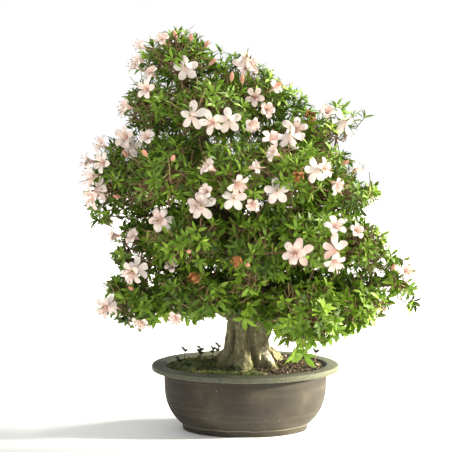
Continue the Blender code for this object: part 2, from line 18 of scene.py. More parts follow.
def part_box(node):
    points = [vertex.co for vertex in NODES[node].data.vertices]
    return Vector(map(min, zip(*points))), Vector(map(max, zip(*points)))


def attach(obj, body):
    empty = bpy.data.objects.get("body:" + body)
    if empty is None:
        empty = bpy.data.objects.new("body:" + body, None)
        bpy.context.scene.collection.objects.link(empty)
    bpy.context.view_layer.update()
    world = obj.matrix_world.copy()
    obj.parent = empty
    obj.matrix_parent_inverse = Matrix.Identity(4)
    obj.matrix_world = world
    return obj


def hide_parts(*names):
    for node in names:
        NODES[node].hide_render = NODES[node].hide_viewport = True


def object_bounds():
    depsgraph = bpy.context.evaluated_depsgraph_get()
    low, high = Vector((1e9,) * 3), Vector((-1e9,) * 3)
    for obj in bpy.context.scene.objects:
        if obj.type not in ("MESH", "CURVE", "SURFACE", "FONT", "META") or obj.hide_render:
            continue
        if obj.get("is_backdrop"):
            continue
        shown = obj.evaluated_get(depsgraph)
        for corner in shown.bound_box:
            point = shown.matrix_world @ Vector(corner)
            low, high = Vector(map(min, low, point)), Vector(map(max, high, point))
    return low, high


noise.seed_set(40)  # left alone, its vectors are seeded from the clock
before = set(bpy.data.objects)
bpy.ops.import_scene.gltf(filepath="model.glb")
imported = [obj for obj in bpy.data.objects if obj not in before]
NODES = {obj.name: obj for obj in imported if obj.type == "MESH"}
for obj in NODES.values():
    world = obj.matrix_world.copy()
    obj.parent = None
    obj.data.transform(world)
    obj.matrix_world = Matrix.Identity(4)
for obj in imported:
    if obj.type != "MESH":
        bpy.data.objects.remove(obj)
CAD_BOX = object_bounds()
LEAF_NODES = sorted(name for name in NODES if name.startswith("leaves_"))
FLOWER_NODES = sorted(name for name in NODES if name.startswith("flower_"))
print(f"{len(NODES)} nodes, {len(LEAF_NODES)} masses of leaves and {len(FLOWER_NODES)} flowers")

# %% [markdown]
# ## Helpers for modelling
#
# Operators act on whatever is selected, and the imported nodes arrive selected, so everything is deselected
# before each new piece. Vertices are chosen in code by their place. A finished piece has its place in its
# mesh, with its object at the origin.

# %% Selecting and applying
ops = bpy.ops


def deselect():
    ops.object.select_all(action="DESELECT")


def made(name):
    """The object that the last primitive added, under its own name."""
    piece = bpy.context.object
    piece.name = name
    return piece


def only(piece):
    deselect()
    piece.select_set(True)
    bpy.context.view_layer.objects.active = piece


def choose(piece, test):
    """Selects the vertices whose place passes the test, and goes into edit mode."""
    if piece.mode == "EDIT":
        ops.object.mode_set(mode="OBJECT")
    mesh = piece.data
    mesh.polygons.foreach_set("select", [False] * len(mesh.polygons))
    mesh.edges.foreach_set("select", [False] * len(mesh.edges))
    mesh.vertices.foreach_set("select", [bool(test(vertex.co)) for vertex in mesh.vertices])
    ops.object.mode_set(mode="EDIT")
    ops.mesh.select_mode(type="VERT")


def apply_all(piece):
    """Applies the modifiers and the placement, so that the mesh holds everything."""
    only(piece)
    for modifier in list(piece.modifiers):
        ops.object.modifier_apply(modifier=modifier.name)
    ops.object.transform_apply(location=True, rotation=True, scale=True)


def join(name, parts):
    """These objects as one, under this name."""
    deselect()
    for part in parts:
        part.select_set(True)
    bpy.context.view_layer.objects.active = parts[0]
    if len(parts) > 1:
        ops.object.join()
    return made(name)


def get_points(mesh):
    points = np.empty(len(mesh.vertices) * 3)
    mesh.vertices.foreach_get("co", points)
    return points.reshape(-1, 3)


def set_points(mesh, points):
    mesh.vertices.foreach_set("co", np.asarray(points, float).ravel())
    mesh.update()


# %% Extruding a form ring by ring
def extruded(name, sides, rings, tip=True):
    """A closed form drawn out along +X from rings of (x, half-width, half-thickness, lift)."""
    deselect()
    x, width, thickness, lift = rings[0]
    ops.mesh.primitive_circle_add(
        vertices=sides, radius=1, fill_type="NGON", location=(0, 0, 0), rotation=(0, math.pi / 2, 0)
    )
    piece = made(name)
    ops.object.transform_apply(rotation=True)
    ops.object.mode_set(mode="EDIT")
    ops.mesh.select_all(action="SELECT")
    ops.transform.resize(value=(1, width, thickness), center_override=(0, 0, 0))
    ops.transform.translate(value=(x, 0, lift))
    for new_x, new_width, new_thickness, new_lift in rings[1:]:
        step = (new_x - x, 0, new_lift - lift)
        ops.mesh.extrude_region_move(TRANSFORM_OT_translate={"value": step})
        ratio = (1, new_width / width, new_thickness / thickness)
        ops.transform.resize(value=ratio, center_override=(new_x, 0, new_lift))
        x, width, thickness, lift = new_x, new_width, new_thickness, new_lift
    if tip:
        ops.mesh.merge(type="CENTER")
    ops.mesh.select_all(action="SELECT")
    ops.mesh.normals_make_consistent(inside=False)
    ops.object.mode_set(mode="OBJECT")
    return piece


# %% [markdown]
# ## Helpers for materials
#
# Colours are written as the sRGB hex values a painter would mix, and one function turns them into the
# linear numbers that the renderer works in. One more function adds a node with its settings and links, and
# another lays one colour over the next, as a glaze or a stain lies on what is under it.

# %% Colours and nodes
def rgb(hexed):
    """A linear colour with alpha from an sRGB hex value such as "8A7F66"."""
    shares = [int(hexed[at : at + 2], 16) / 255 for at in (0, 2, 4)]
    return (*[s / 12.92 if s <= 0.04045 else ((s + 0.055) / 1.055) ** 2.4 for s in shares], 1)


def new_material(name):
    """An empty material with its output node."""
    material = bpy.data.materials.new(name)
    material.use_nodes = True
    material.node_tree.nodes.clear()
    add_node(material, "OutputMaterial", "out")
    return material


def add_node(material, kind, name, ramp=(), links=(), **settings):
    """Adds a node. A setting goes on the socket of its name or number, such as in7, or else on the node.

    A ramp is rows of (position, hex), and a link is (node it comes from, its output, this node's input)."""
    tree = material.node_tree
    node = tree.nodes.new(f"ShaderNode{kind}")
    node.name = name
    for key, value in settings.items():
        socket = key.replace("_", " ")
        if socket in node.inputs:
            node.inputs[socket].default_value = value
        elif key.startswith("in") and key[2:].isdigit():
            node.inputs[int(key[2:])].default_value = value
        else:
            setattr(node, key, value)
    if ramp:
        stops = node.color_ramp.elements
        while len(stops) < len(ramp):
            stops.new(0.5)
        for stop, (position, colour) in zip(stops, ramp):
            stop.position, stop.color = position, rgb(colour)
    for source, output, target in links:
        tree.links.new(tree.nodes[source].outputs[output], node.inputs[target])
    return node


PLACE = (("place", "Object", 0),)  # ties a pattern to the object itself


def over(material, name, colour, below, pattern, ends, share):
    """Lays a colour over the one below where a pattern goes from one end to the other, up to this share."""
    add_node(material, "MapRange", name + "_share", in1=ends[0], in2=ends[1], in3=0.0, in4=share,
             links=((*pattern, 0),))
    add_node(material, "Mix", name, data_type="RGBA", in7=rgb(colour),
             links=((name + "_share", 0, 0), (*below, 6)))


def finish(material):
    tree = material.node_tree
    tree.links.new(tree.nodes["surface"].outputs[0], tree.nodes["out"].inputs["Surface"])
    return material


# %% [markdown]
# ## Materials
#
# ** Unglazed stoneware** is clay fired without a coat of glass, so it is rough and takes up what touches it:
# it is cloudy with a dark wash, streaked where it was wiped, and greener and granular on the lip where water
# dries. A thin pale line of painted highlight runs along the lip's lower edge and the foot's top edge. One
# Object coordinate feeds noises at real scales: 45 mm clouds, 26 mm stains of rust, 6 mm streaks and a grain
# of 1.6 mm, coarser than real grit so that it shows.

# %% Stoneware
LIP_UNDERSIDE, FOOT_TOP = 0.0975, 0.0115  # heights of the level edges that carry a painted highlight line
EDGE_WIDTH = 0.0016


def band(material, name, centre):
    """1 at a height and falling to 0 an edge's width from it, for a painted highlight along a level edge."""
    add_node(material, "Math", name + "_off", operation="SUBTRACT", in1=centre, links=(("height", 0, 0),))
    add_node(material, "Math", name + "_abs", operation="ABSOLUTE", links=((name + "_off", 0, 0),))
    add_node(material, "MapRange", name, in1=0.0, in2=EDGE_WIDTH, in3=1.0, in4=0.0,
             links=((name + "_abs", 0, 0),))


def stoneware():
    clay = new_material("unglazed_stoneware")
    add_node(clay, "TexCoord", "place")
    add_node(clay, "SeparateXYZ", "split", links=PLACE)
    for name, scale, detail, rough in (
            ("wobble", 55.0, 3.0, 0.5), ("cloud", 22.0, 5.0, 0.62), ("grain", 620.0, 3.0, 0.7),
            ("rust_noise", 38.0, 4.0, 0.5)):
        add_node(clay, "TexNoise", name, Scale=scale, Detail=detail, Roughness=rough, links=PLACE)
    add_node(clay, "Math", "height", operation="MULTIPLY_ADD", in1=0.004,
             links=(("wobble", 0, 0), ("split", 2, 2)))
    add_node(clay, "ValToRGB", "clay_colour", links=(("cloud", 0, 0),),
             ramp=((0.30, "25231D"), (0.46, "2C2922"), (0.58, "343027"), (0.72, "413D33")))
    add_node(clay, "Mapping", "wiped", Scale=(9.0, 9.0, 170.0), links=PLACE)
    add_node(clay, "TexNoise", "streak", Scale=1.0, Detail=4.0, links=(("wiped", 0, "Vector"),))
    over(clay, "wiped_clay", "4E4A40", ("clay_colour", 0), ("streak", 0), (0.50, 0.72), 0.30)
    add_node(clay, "MapRange", "on_lip", in1=LIP_UNDERSIDE - 0.001, in2=LIP_UNDERSIDE + 0.003,
             links=(("height", 0, 0),))
    add_node(clay, "ValToRGB", "lip_colour", links=(("grain", 0, 0),),
             ramp=((0.30, "2E3127"), (0.50, "464A3C"), (0.66, "5E604D"), (0.80, "8A8B74")))
    add_node(clay, "Mix", "with_lip", data_type="RGBA",
             links=(("on_lip", 0, 0), ("wiped_clay", 2, 6), ("lip_colour", 0, 7)))
    # painted highlight: a thin pale line along the lip's lower edge and the foot's top edge
    band(clay, "lip_edge", LIP_UNDERSIDE + 0.0012)
    band(clay, "foot_edge", FOOT_TOP + 0.0006)
    add_node(clay, "Math", "edges", operation="MAXIMUM", links=(("lip_edge", 0, 0), ("foot_edge", 0, 1)))
    over(clay, "rubbed", "8A8575", ("with_lip", 2), ("edges", 0), (0.0, 1.0), 0.45)
    add_node(clay, "TexVoronoi", "spots", Scale=75.0, links=PLACE)
    over(clay, "specked", "BDB8A6", ("rubbed", 2), ("spots", "Distance"), (0.052, 0.030), 0.6)
    over(clay, "colour", "6A5038", ("specked", 2), ("rust_noise", 0), (0.71, 0.80), 0.5)
    add_node(clay, "MapRange", "gloss", in1=0.3, in2=0.7, in3=0.60, in4=0.82, links=(("cloud", 0, 0),))
    add_node(clay, "Bump", "grain_bump", Strength=0.35, Distance=0.0004, links=(("grain", 0, "Height"),))
    add_node(clay, "Bump", "wipe_bump", Strength=0.25, Distance=0.0006,
             links=(("streak", 0, "Height"), ("grain_bump", 0, "Normal")))
    add_node(clay, "BsdfPrincipled", "surface", IOR=1.5, Specular_IOR_Level=0.28,
             links=(("colour", 2, "Base Color"), ("gloss", 0, "Roughness"), ("wipe_bump", 0, "Normal")))
    return finish(clay)


STONEWARE = stoneware()
print(f"{STONEWARE.name}: {len(STONEWARE.node_tree.nodes)} nodes")

# %% [markdown]
# ** Bark** on an old azalea is thin and fibrous. It is grey-olive on the ribs, green where algae grows, and
# pale where it flakes. Painted shade darkens it in the folds, and near the right of the foot the pale flakes
# grow into a painted pool of light, almost white. The fold depth is stored on the mesh when the trunk is
# carved, and higher up the wood turns to brown twigs.

# %% Bark and twigs
# the middle of a painted pool of light on the right of the trunk's foot
PAINTED_LIGHT_PLACE = (0.0270, -0.0300, 0.1260)


def bark():
    wood = new_material("azalea_bark")
    add_node(wood, "TexCoord", "place")
    add_node(wood, "SeparateXYZ", "split", links=PLACE)
    add_node(wood, "Attribute", "fold", attribute_name="fold")
    for name, stretch, detail, rough in (  # drawn out upwards, as fibre is
            ("fibre", (330.0, 330.0, 75.0), 4.0, 0.65), ("flake", (210.0, 210.0, 80.0), 5.0, 0.75)):
        add_node(wood, "Mapping", name + "_space", Scale=stretch, links=PLACE)
        add_node(wood, "TexNoise", name, Scale=1.0, Detail=detail, Roughness=rough,
                 links=((name + "_space", 0, "Vector"),))
    add_node(wood, "TexNoise", "patch", Scale=34.0, Detail=5.0, Roughness=0.6, links=PLACE)
    add_node(wood, "TexNoise", "lichen", Scale=150.0, Detail=5.0, Roughness=0.7, links=PLACE)
    add_node(wood, "ValToRGB", "rib_colour", links=(("fibre", 0, 0),),
             ramp=((0.32, "4A4632"), (0.50, "6C684C"), (0.68, "918C6C")))
    add_node(wood, "ValToRGB", "lichen_colour", links=(("lichen", 0, 0),),
             ramp=((0.34, "3E3A26"), (0.50, "6A6646"), (0.62, "A09A78")))
    add_node(wood, "Mix", "mottled", data_type="RGBA", in0=0.5,
             links=(("rib_colour", 0, 6), ("lichen_colour", 0, 7)))
    # painted shade: the bark is darkened where the fold attribute marks the bottom of a flute
    over(wood, "folded", "342D20", ("mottled", 2), ("fold", "Fac"), (0.55, 0.05), 0.85)
    over(wood, "greened", "6B7045", ("folded", 2), ("patch", 0), (0.50, 0.66), 0.42)
    # pale flakes from the flake noise, and near PAINTED_LIGHT_PLACE a painted pool of light that turns them
    # almost white
    add_node(wood, "VectorMath", "from_flaked", operation="DISTANCE", in1=PAINTED_LIGHT_PLACE, links=PLACE)
    add_node(wood, "MapRange", "near_flaked", in1=0.040, in2=0.008, in3=0.0, in4=0.38,
             links=(("from_flaked", "Value", 0),))
    add_node(wood, "Math", "flake_sum", operation="ADD", links=(("near_flaked", 0, 0), ("flake", 0, 1)))
    over(wood, "pale", "D8D3C0", ("greened", 2), ("flake_sum", 0), (0.78, 0.94), 0.85)
    over(wood, "colour", "5C4632", ("pale", 2), ("split", 2), (0.22, 0.36), 0.6)
    add_node(wood, "Bump", "fibre_bump", Strength=0.5, Distance=0.0008, links=(("fibre", 0, "Height"),))
    add_node(wood, "Bump", "rough", Strength=0.6, Distance=0.0014,
             links=(("lichen", 0, "Height"), ("fibre_bump", 0, "Normal")))
    add_node(wood, "BsdfPrincipled", "surface", Roughness=0.86, IOR=1.45,
             links=(("colour", 2, "Base Color"), ("rough", 0, "Normal")))
    return finish(wood)


def tinted(name, stops, roughness, scale=90.0, bump=0.0004, share=0.35, sheen=0.0):
    """A finish whose colour follows each piece's own tint, broken up by a noise of a real scale."""
    material = new_material(name)
    add_node(material, "TexCoord", "place")
    add_node(material, "Attribute", "tint", attribute_name="tint")
    add_node(material, "TexNoise", "mottle", Scale=scale, Detail=4.0, Roughness=0.65, links=PLACE)
    add_node(material, "Mix", "mixed", data_type="FLOAT", in0=share,
             links=(("tint", "Fac", 2), ("mottle", 0, 3)))
    add_node(material, "ValToRGB", "colour", ramp=stops, links=(("mixed", 0, 0),))
    add_node(material, "Bump", "rough", Strength=0.5, Distance=bump, links=(("mottle", 0, "Height"),))
    add_node(material, "BsdfPrincipled", "surface", Roughness=roughness, IOR=1.45, Sheen_Weight=sheen,
             links=(("colour", 0, "Base Color"), ("rough", 0, "Normal")))
    return finish(material)


BARK = bark()
TWIG = tinted("azalea_twig", ((0.2, "5A4630"), (0.5, "806748"), (0.8, "A08A62")), 0.8, scale=300.0)
print(f"{BARK.name}: {len(BARK.node_tree.nodes)} nodes")

# %% [markdown]
# **Leaves and petals** are thin, so light comes through them as well as off them. Each mixes a glossy or
# matte skin with a Translucent shader. Leaves run from a dark blue-green to a fresh yellow-green, one tint
# to each leaf, with a paler midrib. Petals are white with a blush of pink that gathers in the throat.

# %% Leaves and petals
def thin_and_living(name, stops, glow, roughness, through, rib=None, ribbed=()):
    """A thin plant skin: colour by tint, and light that shines through it in its own deeper colour.

    A rib or blush runs along the piece's own map: from, to, its strength, and which way (0 along, 1 out)."""
    skin = new_material(name)
    add_node(skin, "Attribute", "tint", attribute_name="tint")
    add_node(skin, "ValToRGB", "tinted", ramp=stops, links=(("tint", "Fac", 0),))
    add_node(skin, "UVMap", "own_map", uv_map="own")
    add_node(skin, "SeparateXYZ", "split", links=(("own_map", 0, 0),))
    if rib:
        start, end, share, way = ribbed
        over(skin, "colour", rib, ("tinted", 0), ("split", way), (start, end), share)
    out = ("colour", 2) if rib else ("tinted", 0)
    add_node(skin, "BsdfPrincipled", "skin", Roughness=roughness, IOR=1.42, links=((*out, "Base Color"),))
    add_node(skin, "Mix", "glow", data_type="RGBA", blend_type="MULTIPLY", in0=1.0, in7=rgb(glow),
             links=((*out, 6),))
    add_node(skin, "BsdfTranslucent", "through", links=(("glow", 2, "Color"),))
    add_node(skin, "MixShader", "surface", in0=through, links=(("skin", 0, 1), ("through", 0, 2)))
    return finish(skin)


LEAF = thin_and_living(
    "azalea_leaf", ((0.0, "40581E"), (0.35, "688A26"), (0.7, "8EB536"), (1.0, "B8D456")),
    "FFFF8C", 0.50, 0.36, rib="A3BA50", ribbed=(0.10, 0.0, 0.4, 1))
PETAL = thin_and_living(
    "azalea_petal", ((0.0, "EAE6E0"), (0.5, "E6D6CE"), (1.0, "DFB8AA")),
    "FFF4EC", 0.62, 0.24, rib="DDAE9E", ribbed=(0.40, 0.0, 0.6, 0))
BUD = thin_and_living(
    "azalea_bud", ((0.0, "EDCDBD"), (0.5, "DDAA95"), (1.0, "C48A72")),
    "FFE6DA", 0.55, 0.20, rib="E8DCC0", ribbed=(0.45, 0.0, 0.6, 0))
WILTED = thin_and_living(
    "wilted_petal", ((0.0, "D9A778"), (0.5, "C08448"), (1.0, "8E5A30")),
    "FFE0B0", 0.75, 0.20)
FILAMENT = tinted("stamen_filament", ((0.2, "F2DCD2"), (0.8, "E6B9A8")), 0.6, scale=500.0)
ANTHER = tinted("anther", ((0.2, "86684F"), (0.8, "A88A6C")), 0.8, scale=500.0)
CALYX = tinted("flower_stalk", ((0.2, "5E6E2E"), (0.8, "8A8A45")), 0.6, scale=400.0)

# %% [markdown]
# **What lies in the pot**: soil of fired-clay grains, moss, chips of bark, and out of sight a layer of
# pumice, a plastic screen over each hole and a brown-anodised wire that holds it.

# %% Soil, moss and drainage finishes
SOIL = tinted("damp_soil", ((0.2, "241D13"), (0.5, "3D3423"), (0.8, "5E5338")), 0.95, scale=420.0, share=0.8)
GRAIN = tinted("clay_grain", ((0.0, "1E1A11"), (0.4, "362E20"), (0.7, "594D39"), (1.0, "B8B097")), 0.9,
               scale=600.0, share=0.15)
CHIP = tinted("bark_chip", ((0.0, "1F1813"), (0.4, "3C2E24"), (0.75, "635243"), (1.0, "B0A18A")), 0.85,
              scale=500.0, share=0.2)
MOSS = tinted("moss", ((0.0, "1C1D0D"), (0.4, "363E15"), (0.7, "607024"), (1.0, "94964A")), 0.95,
              scale=160.0, share=0.5, sheen=0.4)
SEEDLING = tinted("seedling_leaf", ((0.2, "1E3016"), (0.8, "3A4E24")), 0.6, scale=300.0)
PUMICE = tinted("pumice_grit", ((0.2, "8D8672"), (0.5, "B4AD97"), (0.8, "D6D0BD")), 0.95, scale=260.0,
                bump=0.0012, share=0.9)
SCREEN = tinted("moulded_polyethylene_screen", ((0.2, "1B1B1A"), (0.8, "2C2C2A")), 0.5, scale=300.0,
                share=0.9)


def anodised_wire():
    wire = new_material("brown_anodised_aluminium")
    add_node(wire, "TexCoord", "place")
    add_node(wire, "TexNoise", "drawn", Scale=700.0, Detail=2.0, links=PLACE)
    add_node(wire, "MapRange", "gloss", in3=0.34, in4=0.48, links=(("drawn", 0, 0),))
    add_node(wire, "ValToRGB", "colour", links=(("drawn", 0, 0),), ramp=((0.3, "7A5B40"), (0.7, "94745A")))
    add_node(wire, "BsdfPrincipled", "surface", Metallic=1.0,
             links=(("colour", 0, "Base Color"), ("gloss", 0, "Roughness")))
    return finish(wire)


WIRE = anodised_wire()
print(f"{len(bpy.data.materials)} materials")


# %% [markdown]
# ## Many copies of one small model
#
# A tree has thousands of leaves but only a few shapes of leaf. Each shape is modelled once with a few dozen
# faces, and this helper lays copies of it into one mesh, each copy with its own vertices, its own tint and
# its own small cell of the map that textures are baked through.

# %% Preparing and copying models
def tint(piece, value):
    """Stores a tint from 0 to 1 on every vertex."""
    attribute = piece.data.attributes.get("tint") or piece.data.attributes.new("tint", "FLOAT", "POINT")
    attribute.data.foreach_set("value", np.full(len(piece.data.vertices), value, np.float32))
    return piece


def mapped(piece, material):
    """Triangles, a material, a tint, a map along and out from the midline, and a flat map to bake through."""
    only(piece)
    ops.object.mode_set(mode="EDIT")
    ops.mesh.select_all(action="SELECT")
    ops.mesh.quads_convert_to_tris()
    ops.object.mode_set(mode="OBJECT")
    mesh = piece.data
    mesh.materials.clear()
    mesh.materials.append(material)
    tint(piece, 0.0)
    points = get_points(mesh)
    low, size = points.min(0), np.maximum(np.ptp(points, axis=0), 1e-6)
    share = (points - low) / size
    own = mesh.uv_layers.new(name="own")
    bake = mesh.uv_layers.new(name="OFBake")
    for face in mesh.polygons:
        upper = 0.5 if face.normal.z >= 0 else 0.0
        for loop in face.loop_indices:
            u, v, _ = share[mesh.loops[loop].vertex_index]
            own.data[loop].uv = (u, abs(2 * v - 1))
            bake.data[loop].uv = (0.03 + 0.94 * u, upper + 0.02 + 0.46 * v)
    return piece


def read(collection, key, width, kind=np.float64):
    values = np.empty(len(collection) * width, kind)
    collection.foreach_get(key, values)
    return values.reshape(-1, width) if width > 1 else values


def copies(name, model, turns, places, tints, region=(0.0, 0.0, 1.0, 1.0)):
    """Copies of a model, each turned and scaled by a 3 x 3 matrix, as one object."""
    source = model.data
    points = read(source.vertices, "co", 3)
    corners = read(source.loops, "vertex_index", 1, np.int32)
    count, each = len(places), len(points)
    turns, places, tints = np.array(turns), np.array(places), np.array(tints)
    moved = np.einsum("nij,vj->nvi", turns, points) + places[:, None]
    faces = (corners.reshape(1, -1, 3) + each * np.arange(count)[:, None, None]).reshape(-1, 3)
    mesh = bpy.data.meshes.new(name)
    mesh.from_pydata(moved.reshape(-1, 3), [], faces)
    for material in source.materials:
        mesh.materials.append(material)
    slots = read(source.polygons, "material_index", 1, np.int32)
    mesh.polygons.foreach_set("material_index", np.tile(slots, count))
    own = read(source.uv_layers["own"].data, "uv", 2)
    mesh.uv_layers.new(name="own").data.foreach_set("uv", np.tile(own, (count, 1)).ravel())
    bake = read(source.uv_layers["OFBake"].data, "uv", 2)
    left, low, right, high = region
    rows = math.ceil(math.sqrt(1.3 * count * (high - low) / (right - left)))
    columns = math.ceil(count / rows)
    cell = np.array([(right - left) / columns, (high - low) / rows])
    at = np.stack([np.arange(count) % columns, np.arange(count) // columns], 1) * cell + (left, low)
    laid = (at[:, None] + bake * cell).reshape(-1)
    mesh.uv_layers.new(name="OFBake").data.foreach_set("uv", laid)
    shade = read(source.attributes["tint"].data, "value", 1, np.float32)
    tinted_by = np.clip(shade[None] + tints[:, None], 0, 1).astype(np.float32)
    mesh.attributes.new("tint", "FLOAT", "POINT").data.foreach_set("value", tinted_by.ravel())
    piece = bpy.data.objects.new(name, mesh)
    bpy.context.scene.collection.objects.link(piece)
    return piece


def placed(name, parts, slot, *nodes, angle=40):
    """One finished piece: parts joined, shaded, riding on the one body, and standing for its CAD nodes."""
    piece = join(name, parts)
    ops.object.shade_smooth_by_angle(angle=math.radians(angle))
    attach(piece, "root")
    if nodes:
        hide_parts(*nodes)
    return piece


def discard(*pieces):
    for piece in pieces:
        bpy.data.objects.remove(piece)


def tree_over(*pieces):
    """A search tree over these pieces' faces, for rays and for the nearest surface."""
    points, faces = [], []
    for piece in pieces:
        first = len(points)
        points += [vertex.co.copy() for vertex in piece.data.vertices]
        faces += [[first + corner for corner in face.vertices] for face in piece.data.polygons]
    return BVHTree.FromPolygons(points, faces)


def frame_of(direction, upper):
    """Axes along a direction: itself, sideways, and the side nearest to upper."""
    along = direction / np.linalg.norm(direction)
    side = np.cross(upper, along)
    side = side / max(np.linalg.norm(side), 1e-9)
    return along, side, np.cross(along, side)


# %% [markdown]
# ## The pot
#
# A low oval pot is pressed in a mould from one profile: a foot ring, a belly that fills out quickly, and a
# lip that overhangs. The profile is drawn as a chain of edges and spun round. Then every point moves out
# along the pot's length by the same distance, so the wall is as thick at the ends as at the sides.

# %% The pot's sizes
POT_LOW, POT_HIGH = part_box("pot")
POT_MIDDLE = (POT_LOW + POT_HIGH) / 2
POT_HEIGHT = POT_HIGH.z
LIP_HALF = (POT_HIGH.y - POT_LOW.y) / 2
DRAWN = (POT_HIGH.x - POT_LOW.x) / 2 - LIP_HALF  # how far the circle is drawn out
LIP_OVERHANG = 0.0195
LIP_BOTTOM = POT_HEIGHT - 0.009
BODY_HALF = LIP_HALF - LIP_OVERHANG
WALL = 0.008
FOOT_HALF = 0.100 - DRAWN
FOOT_HEIGHT = 0.011
FOOT_RING, FOOT_STEP = 0.008, 0.0035
RECESS, FLOOR_TOP = 0.006, 0.016
BELLY_POWER = 3.7
POT_STEPS = 144


def body_half(height):
    """The outside half-width of the body at a height, from the foot to the lip."""
    share = (height - FOOT_HEIGHT) / (LIP_BOTTOM - FOOT_HEIGHT)
    out = 1 - (1 - min(max(share, 0), 1)) ** BELLY_POWER
    start = FOOT_HALF + FOOT_STEP
    return start + (BODY_HALF - start) * out


def rounded(corner, before, after, radius, count=4):
    """Points round a corner of the profile, in place of its sharp point."""
    corner, before, after = Vector(corner), Vector(before), Vector(after)
    start = corner + (before - corner).normalized() * radius
    end = corner + (after - corner).normalized() * radius
    steps = [index / count for index in range(count + 1)]
    return [tuple(start * (1 - t) ** 2 + corner * 2 * t * (1 - t) + end * t * t) for t in steps]


def pot_profile():
    """(half-width, height) from the middle of the floor, up inside, over the lip, and down to the foot."""
    inner = BODY_HALF - WALL
    heights = [FLOOR_TOP + (LIP_BOTTOM - FLOOR_TOP) * (index / 16) ** 1.3 for index in range(17)]
    inside = [(body_half(z) - WALL, z) for z in heights]
    outside = [(body_half(z), z) for z in reversed(heights)]
    mouth = (inner + 0.008, POT_HEIGHT)
    brim, under = (LIP_HALF, POT_HEIGHT), (LIP_HALF, LIP_BOTTOM)
    neck = (BODY_HALF, LIP_BOTTOM)
    waist = (body_half(FLOOR_TOP), FLOOR_TOP)
    ledge = (FOOT_HALF + 0.0022, FOOT_HEIGHT + 0.0004)
    return [
        (0.0, FLOOR_TOP), *inside,
        *rounded(mouth, inside[-1], brim, 0.0022), *rounded(brim, mouth, under, 0.0030, 6),
        *rounded(under, brim, neck, 0.0024), *rounded(neck, under, outside[0], 0.0012, 2),
        *outside[1:], (waist[0] - 0.0022, FLOOR_TOP - 0.0026),
        *rounded(ledge, waist, (FOOT_HALF, 0), 0.0011, 3),
        *rounded((FOOT_HALF, 0), ledge, (0, 0), 0.0012, 3),
        *rounded((FOOT_HALF - FOOT_RING, 0), (FOOT_HALF, 0), (FOOT_HALF - FOOT_RING, RECESS), 0.0012, 3),
        *rounded((FOOT_HALF - FOOT_RING, RECESS), (FOOT_HALF - FOOT_RING, 0), (0, RECESS), 0.0012, 2),
        (0.0, RECESS),
    ]


# %% Spinning the pot
def spun(name, profile, steps):
    """A closed solid spun once round Z from (half-width, height) points."""
    deselect()
    mesh = bpy.data.meshes.new(name)
    edges = [(index, index + 1) for index in range(len(profile) - 1)]
    mesh.from_pydata([(half, 0, z) for half, z in profile], edges, [])
    piece = bpy.data.objects.new(name, mesh)
    bpy.context.scene.collection.objects.link(piece)
    only(piece)
    ops.object.mode_set(mode="EDIT")
    ops.mesh.select_all(action="SELECT")
    ops.mesh.spin(steps=steps, angle=2 * math.pi, center=(0, 0, 0), axis=(0, 0, 1))
    ops.mesh.select_all(action="SELECT")
    ops.mesh.remove_doubles(threshold=1e-6)
    ops.mesh.normals_make_consistent(inside=False)
    ops.object.mode_set(mode="OBJECT")
    return piece


def drawn_oval(points, drawn):
    """Moves points out along X by the same distance all round, which turns a circle into the pot's oval."""
    half = np.maximum(np.hypot(points[:, 0], points[:, 1]), 1e-9)
    points[:, 0] *= np.where(half > 1e-6, (half + drawn * np.minimum(half / 0.004, 1)) / half, 1)
    return points


def waver(points, size, scale):
    """A hand-made surface: each point moves by a slow noise of this size and scale."""
    return np.array([Vector(p) + size * noise.noise_vector(Vector(p) / scale) for p in points])


HOLE_RADIUS, HOLE_OUT = 0.009, 0.045
pot = spun("stoneware_pot", pot_profile(), POT_STEPS)
points = waver(drawn_oval(get_points(pot.data), DRAWN), 0.0005, 0.05)
points += (POT_MIDDLE.x, POT_MIDDLE.y, 0)
points[:, 2] = np.maximum(points[:, 2], 0)
set_points(pot.data, points)
for side in (-1, 1):
    deselect()
    ops.mesh.primitive_cylinder_add(
        vertices=48, radius=HOLE_RADIUS, depth=0.04,
        location=(POT_MIDDLE.x + side * HOLE_OUT, POT_MIDDLE.y, FLOOR_TOP - 0.005))
    drill = made(f"drill_{side}")
    hole = pot.modifiers.new("drain_hole", "BOOLEAN")
    hole.object = drill
    apply_all(pot)
    discard(drill)
pot.data.materials.append(STONEWARE)
pot = placed("stoneware_pot", [pot], "stoneware", "pot", angle=35)
print(f"pot: {len(pot.data.polygons)} faces, {1000 * LIP_HALF * 2:.0f} mm wide")

# %% [markdown]
# ## The wood
#
# The CAD trunk is a bundle of plain tubes. A copy of it is welded and remeshed into one skin, so that the
# limbs and roots run into the trunk as they do where wood has grown over them. Then the skin is carved:
# deep flutes that follow the roots up the trunk, lumps where old branches healed, and fine fibre.

# %% Growing the trunk into one skin
VOXEL = 0.0017
TRUNK_FOOT = Vector((POT_MIDDLE.x + 0.003, POT_MIDDLE.y, 0.104))
FLUTES = 7


def merged_copy(name, node):
    """A welded copy of a CAD node, to be reshaped."""
    piece = bpy.data.objects.new(name, NODES[node].data.copy())
    bpy.context.scene.collection.objects.link(piece)
    only(piece)
    ops.object.mode_set(mode="EDIT")
    ops.mesh.select_all(action="SELECT")
    ops.mesh.remove_doubles(threshold=1e-5)
    ops.object.mode_set(mode="OBJECT")
    piece.data.materials.clear()
    return piece


def remeshed(piece, voxel, smoothing):
    skin = piece.modifiers.new("skin", "REMESH")
    skin.mode = "VOXEL"
    skin.voxel_size = voxel
    relax = piece.modifiers.new("relax", "SMOOTH")
    relax.factor = 0.5
    relax.iterations = smoothing
    apply_all(piece)
    return piece


def trunk_middle(z):
    """The middle of the bare trunk at a height, read from the CAD trunk's own rings."""
    return np.array([np.interp(z, TRUNK_RISE, TRUNK_X), np.interp(z, TRUNK_RISE, TRUNK_Y)])


